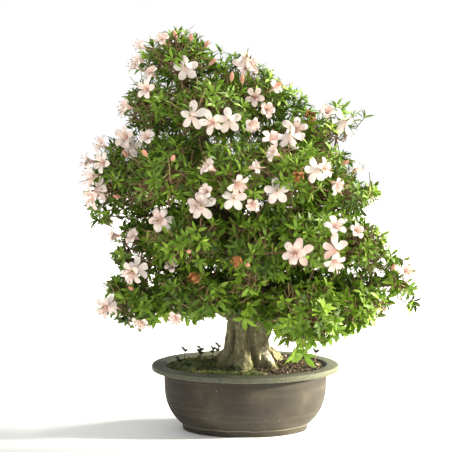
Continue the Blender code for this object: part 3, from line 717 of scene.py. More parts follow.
TRUNK_RISE = np.array([0.09, 0.146, 0.176, 0.21, 0.26, 0.32, 0.385, 0.45, 0.51, 0.56])
TRUNK_X = POT_MIDDLE.x + np.array([4, 3, 7, 9, 2, -16, -42, -68, -88, -99]) / 1000
TRUNK_Y = np.array([2, 0, 0, 2, 4, 4, 2, 4, 5, 5]) / 1000


FLUTE_DEPTH, LUMP_HEIGHT, FIBRE_HEIGHT, WART_HEIGHT = 0.0062, 0.0050, 0.0012, 0.0022
BARE_REACH, BARE_FADE = 0.090, 0.022  # the bare trunk's reach from its middle, and how softly it ends
LIMB_FOLD = 0.7


def carve(piece):
    """Flutes, healed lumps, warts and fibre, strong on the bare trunk and fading out along the limbs."""
    mesh = piece.data
    normals = read(mesh.vertex_normals, "vector", 3)
    points = get_points(mesh)
    folds = np.empty(len(points), np.float32)
    for index, (point, normal) in enumerate(zip(points, normals)):
        x, y, z = point
        middle = trunk_middle(z)
        turn = math.atan2(y - middle[1], x - middle[0])
        out = math.hypot(y - middle[1], x - middle[0])
        near = min(max((BARE_REACH - out) / BARE_FADE, 0), 1) * min(max((0.50 - z) / 0.2, 0.15), 1)
        wander = noise.noise(Vector((x * 14, y * 14, z * 9)))
        wave = math.cos(FLUTES * turn + 3.2 * wander + 5 * (z - 0.1))
        ridge = 1 - abs(wave) ** 0.7 if wave < 0 else 1.0
        small = math.cos(2.6 * FLUTES * turn + 6 * noise.noise(Vector((x * 25, y * 25, z * 12))))
        lumps = noise.noise(Vector((x * 42, y * 42, z * 26)) + Vector((3, 7, 1)))
        fibre = noise.noise(Vector((x * 260, y * 260, z * 55)))
        wart = max(noise.noise(Vector((x * 120, y * 120, z * 90)) + Vector((1, 9, 4))), 0)
        depth = FLUTE_DEPTH * (ridge - 0.72) + 0.0016 * small + LUMP_HEIGHT * lumps
        height = near * depth + (FIBRE_HEIGHT * fibre + WART_HEIGHT * wart) * (0.2 + near)
        points[index] = point + normal * height
        # fold is low in the grooves, where the bark finish paints shade
        fold = 0.5 + 0.5 * (0.55 * (ridge * 2 - 1) + 0.25 * small + 0.35 * lumps)
        folds[index] = fold if near > 0.05 else LIMB_FOLD
    set_points(mesh, points)
    mesh.attributes.new("fold", "FLOAT", "POINT").data.foreach_set("value", np.clip(folds, 0, 1))


trunk = remeshed(merged_copy("fluted_trunk", "trunk"), VOXEL, 4)
carve(trunk)
trunk.data.materials.append(BARK)
trunk = placed("fluted_trunk", [trunk], "bark", "trunk", angle=60)
print(f"trunk: {len(trunk.data.polygons)} faces")

# %% [markdown]
# ## Flowers and buds
#
# An azalea flower is a funnel of five petals joined at the base, with long stamens and a longer pistil, on
# a thin stalk. One petal is extruded ring by ring, cupped, and turned round to make five. The CAD flowers
# give the place and the direction of the largest ones, read from the plain funnels' own vertices.

# %% One petal, five times
RNG = np.random.default_rng(40)
PETAL_RINGS = (
    (0.0010, 0.0010, 0.00040, 0.0000), (0.0032, 0.0021, 0.00040, 0.0055), (0.0060, 0.0036, 0.00040, 0.0098),
    (0.0100, 0.0053, 0.00036, 0.0130), (0.0143, 0.0060, 0.00032, 0.0145), (0.0183, 0.0053, 0.00028, 0.0145),
    (0.0213, 0.0033, 0.00022, 0.0137), (0.0227, 0.0009, 0.00015, 0.0131),
)


def petal(name, openness, ruffle):
    """One petal that reaches out along +X from a funnel whose axis is +Z."""
    rings = [(x * openness, width, thick, z * (2 - openness)) for x, width, thick, z in PETAL_RINGS]
    piece = extruded(name, 8, rings)
    points = get_points(piece.data)
    across = points[:, 1] / 0.006
    out = np.clip((points[:, 0] - 0.006) / 0.014, 0, 1)
    points[:, 2] += out * (0.0016 * across ** 2 - 0.0010)
    points[:, 2] += out * 0.0009 * np.sin(9 * across + ruffle) * np.abs(across)
    set_points(piece.data, points)
    return mapped(piece, PETAL)


def turned_round(name, model, count, jitter, tints, start=0.0):
    """Copies of a petal round the axis, each a little out of true."""
    turns = []
    for index in range(count):
        angle = start + 2 * math.pi * index / count + jitter * (RNG.random() - 0.5)
        nod = Matrix.Rotation(1.2 * jitter * (RNG.random() - 0.5), 3, "Y")
        size = 1 + 0.6 * jitter * (RNG.random() - 0.5)
        turns.append(np.array(Matrix.Rotation(angle, 3, "Z") @ nod) * size)
    return copies(name, model, turns, np.zeros((count, 3)), tints * RNG.random(count))


def rod(name, radius, length, bend, swelling=1.0):
    """A thin closed rod along +X that rises towards its end, as a stamen or a pistil does."""
    rings = [(0.0, radius, radius, 0.0)]
    for step in (0.35, 0.7, 1.0):
        size = radius * (1 + (swelling - 1) * step)
        rings.append((length * step, size, size, bend * step * step))
    return mapped(extruded(name, 4, rings, tip=False), FILAMENT)


def lifted(name, model, angles=(0.0,), leans=(0.0,), start=0.0):
    """Copies of a form along +X that spread from a point of the axis, each leaning away from +Z."""
    turns = []
    for angle, lean in zip(angles, leans):
        along = np.array([math.sin(lean) * math.cos(angle), math.sin(lean) * math.sin(angle), math.cos(lean)])
        turns.append(np.stack(frame_of(along, np.array([math.cos(angle), math.sin(angle), 0.01])), 1))
    return copies(name, model, turns, np.tile([0, 0, start], (len(turns), 1)), np.full(len(turns), 0.4))


def round_form(name, sides, rings, material, tip):
    """A round form along +X from (x, radius) rings."""
    return mapped(extruded(name, sides, [(x, radius, radius, 0) for x, radius in rings], tip=tip), material)


def stem_of(*rings):
    """A stalk that swells into a calyx, standing along +Z."""
    stem = round_form("one_stalk", 5, rings, CALYX, tip=False)
    standing = lifted("stalk", stem)
    discard(stem)
    return standing


def flower(name, openness):
    """A whole open flower: petals, stamens with anthers, pistil, calyx and stalk."""
    one = petal("one_petal", openness, 7 * openness)
    petals = turned_round("petals", one, 5, jitter=0.26, tints=0.3, start=math.pi / 2)
    filament = rod("one_filament", 0.00036, 0.0215, bend=0.0022)
    angles = [0.5 + 2 * math.pi * index / 6 for index in range(6)]
    leans = [0.30 * openness + 0.05 * (index % 3) for index in range(6)]
    stamens = lifted("stamens", filament, angles, leans, 0.004)
    head = mapped(extruded("one_anther", 5, (
        (0.0208, 0.0003, 0.0003, 0.0020), (0.0216, 0.0010, 0.0008, 0.0022), (0.0229, 0.0010, 0.0008, 0.0024),
        (0.0236, 0.0004, 0.0003, 0.0025))), ANTHER)
    heads = lifted("anthers", head, angles, leans, 0.004)
    style = rod("one_pistil", 0.00042, 0.0290, bend=0.004, swelling=1.3)
    pistil = lifted("pistil", style, [4.6], [0.25], 0.003)
    stalk = stem_of((-0.016, 0.0006), (-0.004, 0.0007), (-0.0012, 0.0019), (0.0022, 0.0016))
    discard(one, filament, head, style)
    return join(name, [petals, stamens, heads, pistil, stalk])


BUD_LENGTH, BUD_RADIUS = 0.0175, 0.0034
BUD_RINGS = ((0.0, 0.35), (0.18, 0.75), (0.45, 1), (0.72, 0.82), (0.92, 0.35), (1, 0.1))


def bud(name):
    """A closed bud: a pointed spindle on its calyx and stalk."""
    rings = [(BUD_LENGTH * x, BUD_RADIUS * size) for x, size in BUD_RINGS]
    shape = round_form("one_bud", 7, rings, BUD, tip=True)
    body = lifted("bud_body", shape)
    discard(shape)
    return join(name, [body, stem_of((-0.011, 0.0006), (-0.0015, 0.0007), (0.0, 0.0015), (0.0026, 0.0016))])


def wilted(name):
    """A spent flower: limp petals that hang together, with the pistil showing."""
    one = extruded("one_limp_petal", 8, (
        (0.0006, 0.0010, 0.0004, 0.0), (0.0030, 0.0030, 0.0004, 0.0050), (0.0046, 0.0046, 0.0004, 0.0100),
        (0.0058, 0.0050, 0.0003, 0.0150), (0.0050, 0.0030, 0.0003, 0.0190), (0.0040, 0.0006, 0.0002, 0.0215)))
    points = get_points(one.data)
    points[:, 0] += 0.0012 * np.sin(points[:, 1] * 1400) * np.clip(points[:, 2] / 0.01, 0, 1)
    set_points(one.data, points)
    petals = turned_round("limp_petals", mapped(one, WILTED), 5, jitter=0.8, tints=0.8)
    discard(one)
    return join(name, [petals, stem_of((-0.013, 0.0006), (-0.001, 0.0007), (0.0022, 0.0015))])


FLOWER_MODELS = [flower("flower_wide", 1.0), flower("flower_middling", 0.90), flower("flower_narrow", 0.72)]
BUD_MODEL = bud("bud")
WILTED_MODEL = wilted("wilted_flower")
print(f"flower: {len(FLOWER_MODELS[0].data.polygons)} triangles, bud: {len(BUD_MODEL.data.polygons)}")

# %% [markdown]
# The CAD flower is a funnel whose rim holds most of its vertices. Their thinnest direction is the flower's
# axis, and the rim lies at the end that has more of them. The detailed flower takes that place.

# %% Where the CAD flowers are
def flower_seat(node):
    """(base, axis) of a CAD flower."""
    points = get_points(NODES[node].data)
    middle = points.mean(0)
    _, _, rows = np.linalg.svd(points - middle, full_matrices=False)
    axis = rows[2]
    along = (points - middle) @ axis
    if np.median(along) < (along.min() + along.max()) / 2:
        axis, along = -axis, -along
    return points[along < along.min() + 0.0008].mean(0), axis


def standing_on(axis, spin):
    """A turn that takes +Z to this axis, after a spin about it."""
    axis = axis / np.linalg.norm(axis)
    upper = np.array([0.0, 0.0, 1.0]) if abs(axis[2]) < 0.95 else np.array([0.0, -1.0, 0.0])
    side = np.cross(upper, axis)
    side /= np.linalg.norm(side)
    return np.stack([side, np.cross(axis, side), axis], 1) @ np.array(Matrix.Rotation(spin, 3, "Z"))


def facing(turn, up):
    """The direction turn degrees to the right of straight forward, and up degrees up."""
    turn, up = math.radians(turn), math.radians(up)
    return np.array([math.sin(turn) * math.cos(up), -math.cos(turn) * math.cos(up), math.sin(up)])


def pinker(place):
    """The flowers low on the sunny side opened last, and are pinker."""
    return 0.45 if place[2] < 0.37 and place[0] > 0.02 else 0.0


BLOOMS = []  # (middle of the flower, its axis), which the leaves keep clear of
for order, node in enumerate(FLOWER_NODES):
    base, axis = flower_seat(node)
    turn = standing_on(axis, 0.35 * (RNG.random() - 0.5)) * (0.97 + 0.06 * RNG.random())
    blush = 0.12 * RNG.random() + pinker(base)
    single = copies(node + "_bloom", FLOWER_MODELS[order % 2], [turn], [base], [blush])
    placed(node + "_bloom", [single], "petal", node, angle=50)
    BLOOMS.append((base + axis * 0.012, axis))
print(f"{len(BLOOMS)} large flowers")

# %% [markdown]
# The smaller flowers, half-open ones, spent ones and buds have no CAD node of their own. Their places are
# listed in millimetres, each with the way it faces. They are strewn unevenly, as on the real tree: most on
# the left and the upper front, few on the sunny right.

# %% The rest of the flowers
MORE_FLOWERS = (  # x, y, z, degrees right of forward, degrees up, model, scale
    (-60, -122, 491, -15, 0, 0, 0.85), (60, -60, 478, 10, 15, 0, 0.95), (-79, -128, 368, -20, 20, 1, 0.9),
    (-190, -40, 469, -35, 5, 0, 0.9), (113, -129, 296, 15, -35, 1, 0.9), (-135, -110, 345, -30, 15, 1, 0.9),
    (-171, -20, 570, -70, 30, 2, 0.9), (-149, -40, 557, -40, 40, 2, 0.9), (-157, -62, 539, -30, 10, 1, 0.85),
    (-180, -60, 512, -60, 10, 2, 0.95), (-155, -104, 459, -20, 40, 2, 0.9),
    (-224, -40, 452, -60, 25, 1, 0.85), (-243, -20, 430, -80, 5, 2, 0.9), (-222, -56, 428, -40, 10, 1, 0.9),
    (-236, -50, 410, -65, -5, 0, 0.95), (-238, -44, 380, -50, -10, 0, 1.0), (-12, -20, 573, 8, 20, 0, 1.0),
    (-163, -22, 602, -70, 30, 2, 0.8), (-164, -28, 586, -60, 0, 2, 0.8), (-135, -44, 608, -20, 40, 2, 0.8),
    (-14, -106, 498, 35, -30, 2, 0.9), (19, -70, 536, 55, 30, 2, 0.85), (2, -72, 527, -10, 10, 1, 0.8),
    (13, -66, 508, 20, 10, 2, 0.85), (22, -108, 456, 10, 50, 1, 0.9), (39, -148, 441, -55, 25, 2, 0.95),
    (-54, -158, 419, -60, 30, 2, 1.0), (-36, -158, 411, 40, -30, 1, 1.0), (-16, -158, 425, 70, 12, 2, 0.8),
    (-65, -154, 390, -25, 10, 2, 0.8), (88, -143, 421, 50, 15, 1, 0.85), (113, -30, 497, 0, 40, 2, 0.9),
    (108, -110, 406, 50, -25, 2, 0.95), (146, -46, 412, 60, 30, 2, 0.8), (60, -152, 300, -20, 15, 1, 0.95),
    (114, -137, 331, 10, 40, 1, 0.9), (148, -60, 322, 30, 20, 2, 0.85), (231, -24, 256, 30, 15, 1, 0.9),
    (-174, -60, 311, -45, 25, 2, 0.9), (-203, -26, 315, -75, 0, 2, 0.9), (-178, -74, 269, -35, -20, 1, 1.0),
    (-218, -70, 211, -40, -5, 1, 0.95), (-172, -62, 197, -15, -50, 1, 0.9),
    (-112, -130, 213, -20, -30, 2, 0.85), (-121, -100, 268, -15, 40, 2, 0.8),
    (-7, -148, 383, 10, -35, 2, 0.75), (60, 150, 470, 175, 25, 0, 0.9), (-150, 120, 480, 200, 20, 1, 0.9),
    (120, 130, 420, 160, 15, 1, 0.9), (-20, 158, 380, 180, 5, 0, 0.9), (-160, 110, 300, 210, 0, 1, 0.9),
    (20, 150, 330, 172, 10, 2, 0.9), (-90, 160, 360, 188, 20, 2, 0.9),
)
MORE_BUDS = (  # x, y, z, degrees right of forward, degrees up, tint
    (-119, -24, 616, -20, 50, 0.7), (-99, -26, 611, 10, 55, 0.8), (-80, -20, 602, 50, 50, 0.6),
    (-73, -28, 577, 60, 35, 0.5), (-60, 30, 560, 30, 70, 0.6), (-36, -80, 549, 10, 60, 0.7),
    (-19, -70, 546, 0, 55, 0.8), (29, -66, 541, 40, 35, 0.7), (-192, -60, 436, -30, 40, 0.8),
    (-157, -137, 440, -25, 35, 0.9), (-122, -150, 434, 10, 30, 0.8), (-202, -60, 377, -40, 10, 0.9),
    (-95, -150, 303, -10, 10, 0.7), (-12, -154, 285, 0, 5, 0.8), (-184, -76, 236, -20, 20, 0.9),
    (131, -54, 426, 40, 20, 0.6), (214, -26, 256, 30, 50, 0.5), (-140, 60, 440, 200, 50, 0.6),
    (40, 120, 470, 170, 50, 0.7), (150, 60, 380, 150, 40, 0.6), (-60, 130, 300, 190, 20, 0.8),
)
SPENT = (  # x, y, z, degrees right of forward, degrees up
    (-84, -124, 267, -20, -15), (61, -156, 419, 0, -20), (90, -42, 491, -10, 30), (-30, -152, 300, 15, -40),
)


def seated(rows, scale_at=None):
    """Turns, places in metres and axes for rows of x, y, z, turn, up, stood a little off the leaves."""
    turns, places, axes = [], [], []
    for row in rows:
        axis = facing(row[3], row[4])
        turns.append(standing_on(axis, 1.2 * RNG.random()) * (row[scale_at] if scale_at else 1.0))
        places.append(np.array(row[:3]) / 1000 + axis * 0.004)
        axes.append(axis)
    return turns, places, axes


for index, model in enumerate(FLOWER_MODELS):
    rows = [row for row in MORE_FLOWERS if row[5] == index]
    turns, places, axes = seated(rows, scale_at=6)
    group = copies(f"small_flowers_{index}", model, turns, places, 0.35 * RNG.random(len(rows)))
    placed(f"small_flowers_{index}", [group], "petal", angle=50)
    BLOOMS += [(place + axis * 0.010, axis) for place, axis in zip(places, axes)]
for name, model, rows, tones in (
        ("buds", BUD_MODEL, MORE_BUDS, lambda rows: [row[5] - 0.4 for row in rows]),
        ("spent_flowers", WILTED_MODEL, SPENT, lambda rows: 0.3 * RNG.random(len(rows)))):
    turns, places, _ = seated(rows)
    placed(name, [copies(name, model, turns, places, tones(rows))], "petal", angle=60)
discard(*FLOWER_MODELS, BUD_MODEL, WILTED_MODEL)
print(f"{len(MORE_FLOWERS)} more flowers, {len(MORE_BUDS)} buds")

# %% [markdown]
# ## Leaves
#
# Azalea leaves are small and pointed, widest past the middle, with a folded midrib. They sit in whorls of
# five to eight at the ends of thin twigs. Two leaves are modelled, a flat one and one that curls down.

# %% Two leaves and a twig
def leaf(name, drop):
    """A folded, pointed leaf along +X with its upper side towards +Z."""
    piece = extruded(name, 4, (
        (0.0, 0.0005, 0.0004, 0.0), (0.0062, 0.0026, 0.00022, 0.0010 - 0.2 * drop),
        (0.0122, 0.0028, 0.00018, 0.0010 - 0.6 * drop), (0.0188, 0.0002, 0.00010, 0.0002 - 1.1 * drop)))
    choose(piece, lambda place: abs(place.y) > 0.0010)
    ops.transform.translate(value=(0, 0, 0.0007))
    ops.object.mode_set(mode="OBJECT")
    return mapped(piece, LEAF)


LEAF_MODELS = [leaf("flat_leaf", 0.0004), leaf("curled_leaf", 0.0034)]
TWIG_MODEL = mapped(extruded("one_twig", 4, ((0.0, 1.0, 1.0, 0.0), (1.0, 0.65, 0.65, 0.0)), tip=False), TWIG)
print(f"leaf: {len(LEAF_MODELS[0].data.polygons)} triangles")


# %% Where the whorls grow
SPACING = 0.0093
PER_AREA = 16000  # tries to each square metre of a mass's surface
LEAF_DEPTH = 0.005
SKIPPED_INSIDE, SKIPPED_BELOW = 0.78, 0.35  # shares left out where masses meet, and on their undersides
DEEPER = 0.3  # share of whorls that sit well inside a mass
CLUMP, GAP = 0.032, 0.019  # sizes of the clumps of leaves and of the gaps between them
BARE_IN_GAP = 0.75
CLEARINGS = (  # x, z and radius of the notches in the crown's outline, in millimetres
    (50, 573, 28), (27, 581, 18), (74, 552, 20), (156, 453, 22), (133, 458, 17), (173, 406, 20),
    (182, 359, 15), (221, 213, 13), (208, 187, 13), (-188, 280, 12), (-151, 168, 20), (-172, 160, 12),
    (-262, 452, 12),
)
ROOM_LOW = np.array(CAD_BOX[0]) - (0.019, 0.014, 0.0)
ROOM_HIGH = np.array(CAD_BOX[1]) + (0.019, 0.014, 0.016)


ALL_LEAVES = tree_over(*(NODES[name] for name in LEAF_NODES))


def buried(point):
    """True if the point is inside one of the masses."""
    near, normal, _, _ = ALL_LEAVES.find_nearest(Vector(point))
    return (Vector(point) - near).dot(normal) < 0


def surface_points(node, rng):
    """Random points on a mass's surface, evenly spread over its area, with their normals."""
    mesh = NODES[node].data
    points = get_points(mesh)
    corners = np.array([face.vertices[:] for face in mesh.polygons])
    a, b, c = points[corners[:, 0]], points[corners[:, 1]], points[corners[:, 2]]
    normals = np.cross(b - a, c - a)
    areas = np.linalg.norm(normals, axis=1) / 2
    normals /= np.maximum(2 * areas[:, None], 1e-12)
    count = int(areas.sum() * PER_AREA)
    picked = rng.choice(len(areas), count, p=areas / areas.sum())
    u, v = rng.random(count), rng.random(count)
    flip = u + v > 1
    u[flip], v[flip] = 1 - u[flip], 1 - v[flip]
    on = a[picked] + (b - a)[picked] * u[:, None] + (c - a)[picked] * v[:, None]
    return on, normals[picked]


class Spaced:
    """Places kept at least this far apart, looked up by the cell of a grid."""

    def __init__(self, gap):
        self.gap, self.cells = gap, {}

    def key(self, place):
        return tuple(int(math.floor(value / self.gap)) for value in place)

    def free(self, place):
        x, y, z = self.key(place)
        for cell in ((x + i, y + j, z + k) for i in (-1, 0, 1) for j in (-1, 0, 1) for k in (-1, 0, 1)):
            for other in self.cells.get(cell, ()):
                if (place - other) @ (place - other) < self.gap ** 2:
                    return False
        return True

    def take(self, place):
        self.cells.setdefault(self.key(place), []).append(place)


def near_bloom(place):
    """True where a leaf would cover a flower's face."""
    return any(np.linalg.norm(place - middle - way * 0.010) < 0.020 for middle, way in BLOOMS)


def too_far(place, axis):
    """True where the tips of a whorl's leaves would reach out of the room round the CAD model."""
    ahead = place + axis * 0.018
    return (ahead < ROOM_LOW).any() or (ahead > ROOM_HIGH).any()


def cleared(place):
    return any(math.hypot(1000 * place[0] - x, 1000 * place[2] - z) < radius for x, z, radius in CLEARINGS)


def whorl_places(node, rng, spaced):
    """Where this mass's whorls are, with the way each points, and the places where only twigs show."""
    found, bare = [], []
    for point, normal in zip(*surface_points(node, rng)):
        if buried(point + normal * 0.016) and rng.random() < SKIPPED_INSIDE:
            continue
        if normal[2] < -0.55 and rng.random() < SKIPPED_BELOW:
            continue
        depth = LEAF_DEPTH + 0.010 * rng.random() ** 2 - 0.012 * noise.noise(Vector(point) / CLUMP)
        if rng.random() < DEEPER:
            depth += 0.020 * rng.random() + 0.004
        place = point - normal * depth
        axis = 0.85 * normal + np.array([0, 0, 0.42]) + 0.34 * rng.standard_normal(3)
        axis /= np.linalg.norm(axis)
        if (not spaced.free(place) or near_bloom(place + axis * 0.012) or cleared(place)
                or too_far(place, axis)):
            continue
        spaced.take(place)
        sparse = noise.noise(Vector(point) / GAP + Vector((5, 1, 2))) > 0.16
        (bare if sparse and rng.random() < BARE_IN_GAP else found).append((place, axis))
    return found, bare


# %% [markdown]
# A whorl opens like a hand: its outer leaves spread almost flat, one or two young ones stand up in the
# middle and are paler, and every leaf turns its upper side to the whorl's own axis. Towards the right the
# leaves are tinted lighter and yellower, painted light for the sun on that side.

# %% Growing one whorl
PAINTED_SUN_TINT = 0.42  # painted light: tint gained for each metre to the right, lighter and yellower on the sunlit side
BROAD_AT, BROAD = (0.18, 0.30, 0.45), (1.16, 0.92, 0.74)  # leaves are broader low down, in the shade


def whorl(place, axis, rng, rows):
    """Adds one whorl's leaves to rows, the lists of (turn, place, tint) of the two leaf models."""
    _, side, top = frame_of(axis, np.array([0.3, 0.1, 0.95]))
    count = rng.integers(5, 9)
    # each whorl's tint: random, plus painted light that grows towards the right
    shade = 0.42 + 0.19 * rng.standard_normal() + PAINTED_SUN_TINT * place[0]
    begin = rng.random() * 2 * math.pi
    for index in range(count):
        young = index >= count - 1 and rng.random() < 0.7
        lean = math.radians(rng.uniform(12, 35) if young else rng.uniform(38, 84))
        angle = begin + 2.4 * index + 0.3 * rng.standard_normal()
        out = math.cos(angle) * side + math.sin(angle) * top
        direction = math.cos(lean) * axis + math.sin(lean) * out
        direction[2] -= 0.10 * math.sin(lean)
        size = rng.uniform(0.5, 0.75) if young else rng.uniform(0.68, 1.12)
        along, across, upper = frame_of(direction, axis + 0.05 * rng.standard_normal(3))
        broad = rng.uniform(0.9, 1.15) * np.interp(place[2], BROAD_AT, BROAD)
        turn = np.stack([along * size, across * size * broad, upper * size], 1)
        tone = shade + 0.09 * rng.standard_normal() + (0.25 if young else 0)
        which = 0 if young else int(rng.random() < 0.45)
        rows[which].append((turn, place + along * 0.0008, tone))


def stick(start, end, radius):
    """The turn that lays the one-metre twig between two places."""
    along, side, top = frame_of(end - start, np.array([0.1, 0.2, 0.97]))
    length = np.linalg.norm(end - start)
    return np.stack([along * length, side * radius, top * radius], 1)


# %% [markdown]
# Twigs run from the middle of each mass out to clusters, and from each cluster to its whorls, thinner at
# every fork. They show between the leaves wherever the crown is open.

# %% Growing each mass of leaves
def grow_twigs(node, whorls, bare, rng):
    """Turns and places of the twigs that carry these whorls, and of the bare ones between them."""
    low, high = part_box(node)
    middle = np.array((low + high) / 2)
    turns, places = [], []
    clusters = max(3, len(whorls) // 11)
    chosen = rng.choice(len(whorls), min(clusters, len(whorls)), replace=False)
    forks = [whorls[index][0] * 0.62 + middle * 0.38 + 0.004 * rng.standard_normal(3) for index in chosen]
    tree = KDTree(len(forks))
    for index, fork in enumerate(forks):
        tree.insert(fork, index)
    tree.balance()
    for fork in forks:
        halfway = middle * 0.5 + fork * 0.5 + 0.006 * rng.standard_normal(3)
        for start, end, radius in ((middle, halfway, 0.0021), (halfway, fork, 0.0016)):
            turns.append(stick(start, end, radius))
            places.append(start)
    for place, axis in whorls:
        _, index, _ = tree.find(place)
        fork = forks[index]
        elbow = place - axis * 0.010 + 0.002 * rng.standard_normal(3)
        bare_end = elbow + 0.011 * rng.standard_normal(3) + axis * 0.008
        rows = [(fork, elbow, 0.0011), (elbow, place + axis * 0.001, 0.0009), (elbow, bare_end, 0.0007)]
        for start, end, radius in rows[: 2 + (rng.random() < 0.8)]:
            turns.append(stick(start, end, radius))
            places.append(start)
    for place, axis in bare:
        for _ in range(4):
            start = place - axis * 0.012 + 0.005 * rng.standard_normal(3)
            end = start + axis * rng.uniform(0.008, 0.020) + 0.009 * rng.standard_normal(3)
            turns.append(stick(start, end, rng.uniform(0.0005, 0.0010)))
            places.append(start)
    return turns, places


def grow(node, rng, spaced):
    """All the leaves and twigs of one mass, as one piece that stands for it."""
    whorls, bare = whorl_places(node, rng, spaced)
    rows = ([], [])
    for place, axis in whorls:
        whorl(place, axis, rng, rows)
    turns, places = grow_twigs(node, whorls, bare, rng)
    tones = 0.3 + 0.5 * rng.random(len(turns))
    lay_foliage(node.replace("leaves", "foliage"), rows, turns, places, tones, nodes=(node,))
    return len(whorls), len(rows[0]) + len(rows[1])


HANGING = (  # shoots that hang below the crown at the right front, in millimetres
    (38, -92, 178), (52, -98, 168), (66, -104, 158), (74, -108, 142), (60, -100, 150), (84, -100, 166),
    (100, -98, 158), (112, -92, 170), (92, -106, 176), (126, -84, 178), (46, -100, 186), (70, -108, 184),
    (108, -100, 186), (30, -90, 190), (136, -70, 172), (150, -60, 184), (-68, -80, 208), (-96, -84, 198),
    (-30, -72, 206), (-15, -74, 194), (0, -76, 200), (11, -74, 190), (24, -76, 196), (-40, -70, 214),
    (-8, -78, 212), (16, -80, 208),
)
FILLING = (  # shoots between the masses, in millimetres
    (-55, 13, 580), (-44, 22, 580), (65, -22, 513), (75, -28, 513), (-66, 6, 502), (-33, 19, 503),
    (68, 32, 503), (75, -33, 502), (132, -6, 502), (146, 27, 503), (-33, -11, 491), (55, 2, 491),
    (64, -43, 491), (156, 9, 491), (-190, 29, 480), (146, 21, 480), (68, 26, 469), (100, 8, 425),
    (109, -25, 426), (112, 16, 413), (119, -28, 415), (102, 22, 402), (118, -40, 405), (135, 21, 402),
    (130, -32, 394), (44, -15, 382), (33, -20, 371), (-246, 10, 358), (-22, -31, 361), (-243, -13, 348),
    (-229, -45, 351), (-77, -24, 349), (-199, -11, 337), (-186, -37, 339), (-178, 6, 336), (121, -15, 337),
    (-201, 13, 324), (-190, 7, 324), (122, -11, 326), (170, 24, 323), (168, 6, 313), (136, 20, 301),
    (77, -18, 293), (89, -2, 292), (131, -29, 295), (126, 35, 276), (132, -26, 283), (209, -24, 283),
    (120, -39, 274), (209, -24, 272), (226, 16, 267), (203, 11, 256), (98, -35, 251), (244, -15, 248),
    (256, -11, 214), (-50, -30, 575), (-40, -10, 570), (-60, 0, 565), (-30, 20, 575), (-160, -10, 500),
    (-165, 10, 490), (-240, -10, 345), (-235, 10, 350), (52, -20, 290), (64, 10, 296), (78, -10, 288),
    (92, 15, 298), (104, -15, 290), (118, 10, 300), (132, -10, 288), (60, -25, 280), (84, -28, 282),
    (112, -24, 280), (140, 0, 296), (150, -20, 286), (-5, 35, 512), (10, 40, 500), (25, 40, 486),
    (42, 42, 496), (58, 40, 484), (72, 38, 494), (20, 45, 520), (38, 36, 478), (66, 30, 472), (80, 20, 480),
    (12, -20, 512), (48, -10, 508), (96, 0, 470), (84, -24, 462), (100, 20, 440), (112, -10, 432),
    (60, 20, 456), (30, 25, 466), (40, -20, 250), (52, 5, 240), (64, -30, 252), (76, 0, 232), (88, -20, 246),
    (100, 10, 236), (112, -25, 252), (124, 0, 240), (46, -35, 232), (70, -40, 240), (94, -38, 228),
    (118, -36, 238), (58, 20, 228), (82, 25, 250), (106, 25, 244), (36, 0, 236), (64, -10, 222), (90, 5, 222),
    (130, -20, 230), (50, -10, 258), (110, -5, 226), (-62, 10, 256), (-50, 25, 248), (-40, 5, 260),
    (-28, 20, 250), (-22, 8, 258), (-55, -10, 246), (-35, 30, 242), (-68, 25, 262), (-170, -20, 362),
    (-158, 10, 352), (-148, -30, 366), (-140, 20, 346), (-128, -10, 358), (-118, 15, 350), (-165, 30, 344),
    (-135, -35, 350), (-5, 20, 472), (8, 30, 468), (0, -5, 466), (14, 5, 476), (10, 10, 368), (20, -10, 366),
    (4, -20, 372), (-30, -62, 222), (-18, -66, 214), (-5, -62, 206), (6, -64, 216), (14, -66, 204),
    (-24, -60, 206), (0, -60, 224), (20, -62, 222),
)


def lay_foliage(name, rows, turns, places, tones, nodes=(), larger=1.0, painted_light_tint=0.0):
    """One piece from rows of leaves and the turns and places of twigs."""
    parts = []
    for index, (model, found) in enumerate(zip(LEAF_MODELS, rows)):
        bent, at, shades = zip(*found)
        region = (0.0, 0.45 * index, 1.0, 0.45 * index + 0.45)
        # painted_light_tint raises every leaf's tint, painted light for a sunlit group
        bent, shades = np.array(bent) * larger, np.array(shades) + painted_light_tint
        parts.append(copies(f"{name}_{index}", model, bent, at, shades, region))
    parts.append(copies(f"{name}_twigs", TWIG_MODEL, turns, places, tones, (0.0, 0.9, 1.0, 1.0)))
    return placed(name, parts, "leaf", *nodes, angle=60)


def loose_shoots(name, listed, rng, each, towards_axis, spread, back, larger, painted_light_tint):
    """Shoots at listed places, each with a bare stem that runs back towards the crown."""
    rows, turns, places = ([], []), [], []
    for shoot in listed:
        for _ in range(each):
            place = np.array(shoot) / 1000 + spread * rng.standard_normal(3)
            axis = towards_axis(place) + 0.3 * rng.standard_normal(3)
            axis /= np.linalg.norm(axis)
            if near_bloom(place + axis * 0.010) or cleared(place) or too_far(place, axis):
                continue
            whorl(place, axis, rng, rows)
            start = place + back(place, axis) + 0.005 * rng.standard_normal(3)
            turns.append(stick(start, place, 0.0008))
            places.append(start)
    lay_foliage(name, rows, turns, places, [0.25] * len(turns), larger=larger, painted_light_tint=painted_light_tint)


CROWN_MIDDLE = np.array([-0.01, 0.0, 0.37])
